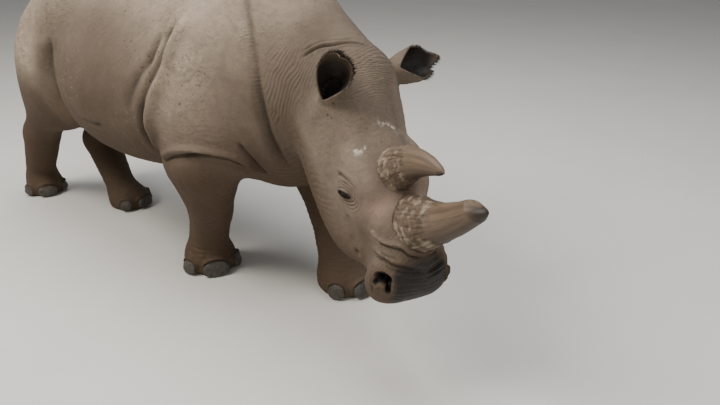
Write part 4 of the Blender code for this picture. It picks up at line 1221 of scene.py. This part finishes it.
def tail_hair(count, length, shift):
    tufts = []
    for place, chance, other in scatter(count, 5.0):
        share = 0.70 + 0.30 * place
        centre = along_path(TAIL_PATH, share) + shift
        radius = float(np.interp(share, np.linspace(0.0, 1.0, len(TAIL_RADII)), TAIL_RADII))
        angle = 2 * pi * (0.618034 * place * count % 1.0)
        fore = 1.0 if abs(cos(angle)) > 0.55 else 0.45
        out = Vector((cos(angle), 0.6 * sin(angle), 0.0))
        root = centre + out * (radius * 0.75)
        way = (out * (0.22 + 0.20 * chance) * fore + Vector((0.0, 0.0, -1.0))).normalized()
        floor = 0.672 + 0.012 * other
        size = min(length * (0.5 + 0.5 * other), max(0.03, (root.z - floor)))
        droop = Vector((0.0, 0.0, -0.05)) - out * 0.15
        patch = (0.05 + 0.25 * angle / (2 * pi), 0.05 + 0.3 * place)
        tufts.append((root, way, droop, size, 0.0016 + 0.0008 * chance, patch))
    return tuft_piece("tail_hair", tufts)


def lashes(name, side, count, length, masses, shift):
    point, out, along, up = eye_frame(side, masses)
    centre = point - out * EYE_DEPTH
    tufts = []
    for place, chance, other in scatter(count, 7.0 + side):
        turn = pi * (0.08 + 0.84 * place)
        u = 0.0250 * cos(turn)
        v = 0.0120 * sin(turn) - 0.001 - 6.0 * u * u
        rise = np.sqrt(max((EYE_BALL + LID) ** 2 - u * u - v * v, 0.0))
        root = centre + along * u + up * v + out * (rise - 0.001) + shift
        way = (out * 0.75 + up * 0.35 + along * (u * 22.0) + Vector((0, 0, -0.25 * chance))).normalized()
        patch = (0.52 + 0.2 * place + (0.22 if side > 0 else 0.0), 0.30 + 0.02 * chance)
        tufts.append((root, way, Vector((0.0, 0.0, -0.30)), length * (0.6 + 0.4 * other), 0.0006, patch))
    return tuft_piece(name, tufts)


# ---------------------------------------------------------------- materials
def new_material(name, **fixed):
    material = bpy.data.materials.new(name)
    material.use_nodes = True
    shader = material.node_tree.nodes["Principled BSDF"]
    for key, value in fixed.items():
        shader.inputs[key.replace("_", " ")].default_value = value
    return material, material.node_tree


def finished(material, **sockets):
    """The material, once its shader has been linked to what drives it."""
    shader = material.node_tree.nodes["Principled BSDF"]
    for key, value in sockets.items():
        material.node_tree.links.new(value, shader.inputs[key.replace("_", " ")])
    return material


def add(tree, kind, inputs=None, out=0, **settings):
    """One output of a new node, whose inputs are values or other nodes' outputs."""
    node = tree.nodes.new("ShaderNode" + kind)
    for key, value in settings.items():
        setattr(node, key, value)
    for key, value in (inputs or {}).items():
        if isinstance(value, bpy.types.NodeSocket):
            tree.links.new(value, node.inputs[key])
        else:
            node.inputs[key].default_value = value
    return node.outputs[out]


def attribute(tree, name, out="Fac"):
    return add(tree, "Attribute", out=out, attribute_name=name, attribute_type="GEOMETRY")


def channels(tree):
    """Red, green and blue of the markings."""
    parts = add(tree, "SeparateColor", {0: attribute(tree, "markings", "Color")}).node
    return parts.outputs[0], parts.outputs[1], parts.outputs[2]


def mixed(tree, share, first, second, way="MIX"):
    """Two colours mixed; 0, 6 and 7 are the node's sockets for a share and two colours, 2 its colour out."""
    first, second = (value if isinstance(value, bpy.types.NodeSocket) else (*value, 1.0)
                     for value in (first, second))
    return add(tree, "Mix", {0: share, 6: first, 7: second}, 2, data_type="RGBA", blend_type=way)


def maths(tree, way, first, second, clamp=False):
    return add(tree, "Math", {0: first, 1: second}, operation=way, use_clamp=clamp)


def times(tree, first, second, clamp=False):
    return maths(tree, "MULTIPLY", first, second, clamp)


def spread(tree, value, low, high, to_low=0.0, to_high=1.0):
    """A value's range between low and high moved onto another."""
    return add(tree, "MapRange", {0: value, 1: low, 2: high, 3: to_low, 4: to_high}, clamp=True)


def grain(tree, place, scale, detail=3.0, roughness=0.5, kind="FBM"):
    return add(tree, "TexNoise", {"Vector": place, "Scale": scale, "Detail": detail, "Roughness": roughness},
               noise_type=kind)


def plate_edges(tree, place, scale, reach):
    """0 in the cracks between small plates, and 1 on the plates."""
    edges = add(tree, "TexVoronoi", {"Vector": place, "Scale": scale}, feature="DISTANCE_TO_EDGE")
    return spread(tree, edges, 0.0, reach)


def bumped(tree, *layers):
    """Normal after one or more layers of bump: height, strength, distance."""
    normal = {}
    for height, strength, distance in layers:
        normal = {"Normal": add(tree, "Bump", {"Height": height, "Strength": strength, "Distance": distance,
                                               **normal})}
    return normal["Normal"]


def hide_material(looks):
    material, tree = new_material("rhinoceros hide", Specular_IOR_Level=0.25)
    place = add(tree, "TexCoord", out="Object")
    earth_and_shade, dust_and_light, pink = channels(tree)
    crease_shade = attribute(tree, "markings", "Alpha")
    damp_and_shade, chalk = attribute(tree, "damp_and_shade"), attribute(tree, "chalk")
    wide = grain(tree, place, 4.0, 4.0, 0.5)
    medium = grain(tree, place, 26.0, 5.0, 0.6)
    small = grain(tree, place, 170.0, 3.0, 0.6)
    shiver = add(tree, "TexNoise", {"Vector": place, "Scale": 30.0, "Detail": 2.0}, "Color")
    pushed = add(tree, "VectorMath", {0: shiver, 1: (0.012, 0.012, 0.012)}, operation="MULTIPLY")
    warped = add(tree, "VectorMath", {0: place, 1: pushed}, operation="ADD")
    scale_edge = plate_edges(tree, warped, 105.0, 0.16)
    plate_edge = plate_edges(tree, warped, 44.0, 0.10)
    ridges = grain(tree, warped, 30.0, 4.0, 0.6, "RIDGED_MULTIFRACTAL")

    patchy = spread(tree, maths(tree, "ADD", wide, times(tree, medium, 0.35)), 0.45, 0.85, 0.35, 1.0)
    blush = times(tree, pink, spread(tree, wide, 0.30, 0.65), True)
    mud_and_shade = spread(tree, maths(tree, "ADD", earth_and_shade, times(tree, medium, 0.30)), 0.22, 1.10)
    speck = spread(tree, grain(tree, place, 62.0, 2.0, 0.5), 0.66, 0.69)
    from_ribs = add(tree, "VectorMath", {0: place, 1: RIB_SPECKS}, "Value", operation="DISTANCE")
    speck_where = maths(tree, "ADD", grain(tree, place, 3.0, 2.0, 0.5),
                        spread(tree, from_ribs, 0.16, 0.46, 0.16, 0.0))
    speck_where = times(tree, spread(tree, speck_where, 0.55, 0.62), 0.75)
    crust = spread(tree, grain(tree, warped, 48.0, 3.0, 0.6), 0.60, 0.68)
    crust_where = times(tree, spread(tree, grain(tree, place, 2.6, 2.0, 0.5), 0.52, 0.62), 0.40)
    colour = mixed(tree, spread(tree, wide, 0.35, 0.65), looks.hide_colour, looks.hide_dark)
    for share, over in (
            (times(tree, patchy, dust_and_light, True), looks.dust_and_light_colour),
            (times(tree, blush, 0.70), looks.pink_colour),
            # earth together with painted shade
            (mud_and_shade, looks.earth_and_shade_colour),
            (times(tree, speck, speck_where), looks.earth_and_shade_colour),
            (times(tree, crust, times(tree, crust_where, maths(tree, "SUBTRACT", 1.0, earth_and_shade, True))),
             looks.dust_and_light_colour),
            (chalk, looks.chalk_colour),
            # damp skin and painted shade, nearly black
            (times(tree, damp_and_shade, spread(tree, medium, 0.2, 0.6, 0.92, 1.0)), looks.damp_and_shade_colour)):
        colour = mixed(tree, share, colour, over)
    # painted shade in the creases and hollows, darker cracks between the plates, and random tone, all
    # multiplied into the colour
    shade = times(tree, spread(tree, scale_edge, 0.0, 1.0, 0.94, 1.0),
                  spread(tree, plate_edge, 0.0, 1.0, 0.97, 1.0))
    shade = times(tree, shade, spread(tree, medium, 0.30, 0.70, 0.92, 1.06))
    shade = times(tree, shade, spread(tree, crease_shade, 0.0, 1.0, 1.0, 0.32))
    shade = times(tree, shade, spread(tree, small, 0.3, 0.7, 0.90, 1.08))
    colour = mixed(tree, 1.0, colour, add(tree, "CombineColor", {0: shade, 1: shade, 2: shade}), "MULTIPLY")
    dull = maths(tree, "SUBTRACT", spread(tree, medium, 0.3, 0.7, 0.80, 0.95), times(tree, damp_and_shade, 0.38))
    caked = times(tree, spread(tree, grain(tree, place, 3.4, 3.0, 0.55), 0.46, 0.60), dust_and_light)
    cake = times(tree, spread(tree, grain(tree, warped, 34.0, 4.0, 0.65), 0.46, 0.62), caked)
    deep = looks.grain_depth
    normal = bumped(tree, (ridges, 0.60 * deep, 0.0045), (cake, 0.75 * deep, 0.0060),
                    (plate_edge, 0.13 * deep, 0.0030), (scale_edge, 0.20 * deep, 0.0018),
                    (small, 0.35 * deep, 0.0010))
    return finished(material, Base_Color=colour, Roughness=dull, Normal=normal)


def horn_material(looks):
    material, tree = new_material("horn", Specular_IOR_Level=0.35)
    dark_tip_and_shade, foot, pale = channels(tree)
    fibre_place = attribute(tree, "fibre", "Vector")
    streak = grain(tree, fibre_place, 120.0, 4.0, 0.6)
    broad = grain(tree, fibre_place, 26.0, 3.0, 0.5)
    lumps = grain(tree, add(tree, "TexCoord", out="Object"), 60.0, 4.0, 0.6)
    colour = mixed(tree, spread(tree, broad, 0.35, 0.65), looks.smooth_colour, looks.smooth_dark)
    colour = mixed(tree, times(tree, spread(tree, streak, 0.45, 0.75), 0.40), colour, looks.tip_and_shade_colour)
    rough = mixed(tree, spread(tree, lumps, 0.35, 0.65), looks.foot_colour, looks.smooth_dark)
    colour = mixed(tree, foot, colour, mixed(tree, pale, rough, looks.crust_colour))
    # dark tip, and painted shade on the underside
    colour = mixed(tree, dark_tip_and_shade, colour, looks.tip_and_shade_colour)
    # cracks, and painted shade round the horn's foot
    colour = mixed(tree, times(tree, attribute(tree, "markings", "Alpha"), 0.75), colour, looks.tip_and_shade_colour)
    return finished(material, Base_Color=colour, Roughness=spread(tree, foot, 0.0, 1.0, 0.56, 0.88),
                    Normal=bumped(tree, (streak, 0.45, 0.0012), (lumps, 0.30, 0.0012)))


def nail_material(looks):
    material, tree = new_material("nail", Specular_IOR_Level=0.35)
    worn = channels(tree)[0]
    place = add(tree, "TexCoord", out="Object")
    streak = grain(tree, add(tree, "Mapping", {"Vector": place, "Scale": (1.0, 1.0, 0.15)}), 170.0, 3.0)
    lumps = grain(tree, place, 45.0, 4.0, 0.6)
    colour = mixed(tree, spread(tree, lumps, 0.35, 0.65), looks.nail_colour, looks.nail_dark)
    colour = mixed(tree, times(tree, worn, spread(tree, streak, 0.3, 0.7)), colour, looks.worn_colour)
    return finished(material, Base_Color=colour, Roughness=spread(tree, lumps, 0.3, 0.7, 0.45, 0.75),
                    Normal=bumped(tree, (streak, 0.4, 0.001)))


def eye_material(looks):
    material, tree = new_material("eye", Roughness=0.22, Specular_IOR_Level=0.12, Coat_Weight=0.10,
                                  Coat_Roughness=0.03)
    pupil, iris, flecks = channels(tree)
    colour = mixed(tree, iris, looks.white_colour, mixed(tree, flecks, looks.iris_colour, looks.iris_dark))
    return finished(material, Base_Color=mixed(tree, pupil, colour, (0.002, 0.002, 0.002)))


def hair_material(looks):
    material, tree = new_material("hair", Specular_IOR_Level=0.3, Roughness=0.6)
    tone = spread(tree, grain(tree, add(tree, "TexCoord", out="Object"), 400.0, 2.0), 0.35, 0.65)
    return finished(material, Base_Color=mixed(tree, tone, looks.hair_colour, looks.hair_dusty))


def floor_material(looks):
    material, tree = new_material("studio floor", Roughness=0.9, Specular_IOR_Level=0.2)
    tone = spread(tree, grain(tree, add(tree, "TexCoord", out="Object"), 1.6, 3.0), 0.3, 0.7)
    dim = tuple(part * 0.96 for part in looks.floor_colour)
    return finished(material, Base_Color=mixed(tree, tone, looks.floor_colour, dim))


# ---------------------------------------------------------------- settings
def amount_of(name, description, value, highest, **kind):
    return FloatProperty(name=name, description=description, default=value, min=0.0, max=highest, **kind)


def colour_of(name, description, value):
    return FloatVectorProperty(name=name, description=description, default=value, size=3,
                               min=0.0, max=1.0, subtype="COLOR")


class HideLooks(bpy.types.PropertyGroup):
    fold_depth: amount_of("Fold depth", "Depth of the folds and creases against a grown cow's", 1.0, 2.0,
                          subtype="FACTOR")
    grain_depth: amount_of("Grain depth", "Strength of the fine scaly grain of the hide", 1.0, 2.0,
                           subtype="FACTOR")
    hide_colour: colour_of("Hide", "Bare grey-brown hide", (0.135, 0.101, 0.074))
    hide_dark: colour_of("Hide, darker", "Darker clouds in the hide", (0.100, 0.073, 0.052))
    # Dust colour, also laid on the rump as painted light
    dust_and_light_colour: colour_of("Dust", "Dried dust on the back, shoulders and face", (0.345, 0.272, 0.206))
    # Earth colour, also laid as painted shade low on the body, on the flank, neck, throat and bridge, under
    # the front horn and in the ears' hollows
    earth_and_shade_colour: colour_of("Earth", "Dried earth on the legs and belly", (0.075, 0.048, 0.030))
    pink_colour: colour_of("Bare skin", "Pink skin where the dust has rubbed away", (0.32, 0.215, 0.165))
    # Also painted shade deep in the ears' hollows, in the nostrils and round the lids
    damp_and_shade_colour: colour_of("Damp skin", "Damp, dark skin of the nose, the lids and the ears' hollows",
                           (0.013, 0.010, 0.008))
    chalk_colour: colour_of("Scuffs", "Chalky scuffs on the forehead", (0.50, 0.44, 0.38))


class HornLooks(bpy.types.PropertyGroup):
    smooth_colour: colour_of("Worn horn", "Smooth, rubbed upper horn", (0.160, 0.108, 0.070))
    smooth_dark: colour_of("Worn horn, darker", "Darker growth in the horn", (0.098, 0.063, 0.039))
    foot_colour: colour_of("Fibrous foot", "Frayed foot of the horn", (0.135, 0.096, 0.065))
    crust_colour: colour_of("Crust", "Pale crust on the foot", (0.28, 0.218, 0.160))
    # Also painted shade on the horn's underside and round its foot
    tip_and_shade_colour: colour_of("Tip", "Dark tip and deep grooves", (0.022, 0.014, 0.009))


class EyeLooks(bpy.types.PropertyGroup):
    iris_colour: colour_of("Iris", "Dark brown iris", (0.030, 0.014, 0.007))
    iris_dark: colour_of("Iris, darker", "Darker flecks of the iris", (0.010, 0.005, 0.003))
    white_colour: colour_of("Rim of the eye", "Dull white beyond the iris", (0.11, 0.07, 0.05))


class NailLooks(bpy.types.PropertyGroup):
    nail_colour: colour_of("Nail", "Grey horn of the nails", (0.078, 0.067, 0.056))
    nail_dark: colour_of("Nail, darker", "Stained nail", (0.044, 0.036, 0.029))
    worn_colour: colour_of("Worn edge", "Pale, ground edge of the nail", (0.10, 0.085, 0.068))


class HairLooks(bpy.types.PropertyGroup):
    fringe_length: amount_of("Ear hair", "Length of the longest hair on an ear's rim", 0.026, 0.06,
                             unit="LENGTH")
    fringe_count: IntProperty(name="Ear tufts", description="Tufts on each ear", default=900,
                              min=10, max=4000)
    tail_length: amount_of("Tail hair", "Length of the longest hair of the tail", 0.20, 0.4, unit="LENGTH")
    tail_count: IntProperty(name="Tail tufts", description="Tufts on the tail", default=520,
                            min=10, max=4000)
    lash_length: amount_of("Lashes", "Length of the lashes", 0.014, 0.04, unit="LENGTH")
    hair_colour: colour_of("Hair", "Nearly black hair", (0.016, 0.011, 0.008))
    hair_dusty: colour_of("Dusty hair", "Hair with dust in it", (0.060, 0.043, 0.030))


class StageLooks(bpy.types.PropertyGroup):
    floor_colour: colour_of("Floor", "Plain pale floor", (0.62, 0.60, 0.56))
    key_power: amount_of("Key light", "Power of the large light above, in watts", 560.0, 5000.0)
    lens: FloatProperty(name="Lens", description="Focal length of the camera", default=37.367,
                        min=10.0, max=200.0)


# ---------------------------------------------------------------- operators
class RHINO_OT_hide(bpy.types.Operator):
    """Make the seamless hide with its folds, lids, ears and markings"""
    bl_idname = "rhino.hide"
    bl_label = "Hide"

    def execute(self, context):
        build_hide(context.scene.rhino_hide)
        return {"FINISHED"}


class RHINO_OT_horns(bpy.types.Operator):
    """Make both horns"""
    bl_idname = "rhino.horns"
    bl_label = "Horns"

    def execute(self, context):
        shift = shift_to_frame(all_masses())
        material = horn_material(context.scene.rhino_horn)
        for name, sizes, seed in (("horn_front", FRONT_HORN, 81), ("horn_rear", REAR_HORN, 91)):
            horn = horn_piece(name + "_shown", sizes, seed)
            horn.data.transform(Matrix.Translation(shift))
            finish_piece(horn, name + "_shown", material)
            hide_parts(name)
        return {"FINISHED"}


class RHINO_OT_eyes(bpy.types.Operator):
    """Make both eyes"""
    bl_idname = "rhino.eyes"
    bl_label = "Eyes"

    def execute(self, context):
        masses = all_masses()
        shift = shift_to_frame(masses)
        material = eye_material(context.scene.rhino_eye)
        for name, side in (("eye_right", -1), ("eye_left", 1)):
            eye = eye_piece(name + "_shown", side, masses, shift)
            finish_piece(eye, name + "_shown", material)
            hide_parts(name)
        return {"FINISHED"}


class RHINO_OT_nails(bpy.types.Operator):
    """Make the twelve nails"""
    bl_idname = "rhino.nails"
    bl_label = "Nails"

    def execute(self, context):
        masses = all_masses()
        shift = shift_to_frame(masses)
        material = nail_material(context.scene.rhino_nail)
        for leg_name, leg in LEGS.items():
            for toe in NAILS:
                name = f"nail_{leg_name}_{toe}"
                nail = nail_piece(name + "_shown", leg, toe, masses, shift)
                finish_piece(nail, name + "_shown", material)
                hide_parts(name)
        return {"FINISHED"}


class RHINO_OT_hair(bpy.types.Operator):
    """Make the fringes of the ears, the tuft of the tail and the lashes"""
    bl_idname = "rhino.hair"
    bl_label = "Hair"

    def execute(self, context):
        looks = context.scene.rhino_hair
        masses = all_masses()
        shift = shift_to_frame(masses)
        material = hair_material(looks)
        pieces = [ear_fringe(name, looks.fringe_count, looks.fringe_length, shift) for name in EARS]
        pieces.append(tail_hair(looks.tail_count, looks.tail_length, shift))
        for name, side in (("lashes_right", -1), ("lashes_left", 1)):
            pieces.append(lashes(name, side, 34, looks.lash_length, masses, shift))
        for piece in pieces:
            finish_piece(piece, piece.name, material)
        return {"FINISHED"}


class RHINO_OT_stage(bpy.types.Operator):
    """Set up the floor, the lights and the camera"""
    bl_idname = "rhino.stage"
    bl_label = "Stage"

    def execute(self, context):
        looks = context.scene.rhino_stage
        scene = context.scene
        shift = shift_to_frame(all_masses())
        form = bmesh.new()
        bmesh.ops.create_grid(form, x_segments=8, y_segments=8, size=30.0,
                              matrix=Matrix.Translation((0.0, 0.0, -FLOOR_DROP)))
        floor = object_from("floor", form)
        floor.data.materials.append(floor_material(looks))
        for name, place, aim, size, power, tint in (
                ("key", (-1.6, -4.2, 6.2), (0.6, -0.1, 1.0), 3.2, looks.key_power, (1.0, 0.965, 0.90)),
                ("top", (0.4, 0.4, 6.5), (0.4, 0.0, 1.0), 5.0, 0.75 * looks.key_power,
                 (0.96, 0.98, 1.0)),
                ("fill", (5.5, -1.5, 2.6), (1.0, 0.0, 0.9), 3.5, 0.14 * looks.key_power, (1.0, 0.97, 0.93))):
            light = bpy.data.lights.new(name, "AREA")
            light.size = size
            light.energy = power
            light.color = tint
            lamp = bpy.data.objects.new(name, light)
            lamp.location = place
            lamp.rotation_euler = (Vector(aim) - Vector(place)).to_track_quat("-Z", "Y").to_euler()
            scene.collection.objects.link(lamp)
        world = bpy.data.worlds.new("studio")
        world.use_nodes = True
        world.node_tree.nodes["Background"].inputs["Color"].default_value = (0.80, 0.83, 0.86, 1.0)
        world.node_tree.nodes["Background"].inputs["Strength"].default_value = 0.30
        scene.world = world
        camera = bpy.data.objects.new("camera", bpy.data.cameras.new("camera"))
        camera.data.sensor_width = 36.0
        camera.data.lens = looks.lens
        turn = Matrix(CAMERA_TURN).to_4x4()
        camera.matrix_world = Matrix.Translation(Vector(CAMERA_AT) + shift) @ turn
        camera.data.clip_end = 200.0
        scene.collection.objects.link(camera)
        scene.camera = camera
        return {"FINISHED"}


class RHINO_PT_panel(bpy.types.Panel):
    bl_idname = "RHINO_PT_panel"
    bl_label = "White Rhinoceros"
    bl_space_type = "VIEW_3D"
    bl_region_type = "UI"
    bl_category = "Rhinoceros"

    def draw(self, context):
        layout = self.layout
        for operator, group in STEPS:
            box = layout.box()
            box.operator(operator.bl_idname)
            looks = getattr(context.scene, group)
            for key in looks.__annotations__:
                box.prop(looks, key)


STEPS = ((RHINO_OT_hide, "rhino_hide"), (RHINO_OT_horns, "rhino_horn"), (RHINO_OT_eyes, "rhino_eye"),
         (RHINO_OT_nails, "rhino_nail"), (RHINO_OT_hair, "rhino_hair"), (RHINO_OT_stage, "rhino_stage"))
GROUPS = {"rhino_hide": HideLooks, "rhino_horn": HornLooks, "rhino_eye": EyeLooks,
          "rhino_nail": NailLooks, "rhino_hair": HairLooks, "rhino_stage": StageLooks}


def register():
    for group in GROUPS.values():
        bpy.utils.register_class(group)
    for operator, _ in STEPS:
        bpy.utils.register_class(operator)
    bpy.utils.register_class(RHINO_PT_panel)
    for name, group in GROUPS.items():
        setattr(bpy.types.Scene, name, PointerProperty(type=group))


def unregister():
    for name in GROUPS:
        delattr(bpy.types.Scene, name)
    bpy.utils.unregister_class(RHINO_PT_panel)
    for operator, _ in reversed(STEPS):
        bpy.utils.unregister_class(operator)
    for group in reversed(list(GROUPS.values())):
        bpy.utils.unregister_class(group)


def main():
    register()
    for operator, _ in STEPS:
        space, name = operator.bl_idname.split(".")
        getattr(getattr(bpy.ops, space), name)()


if __name__ == "__main__":
    main()
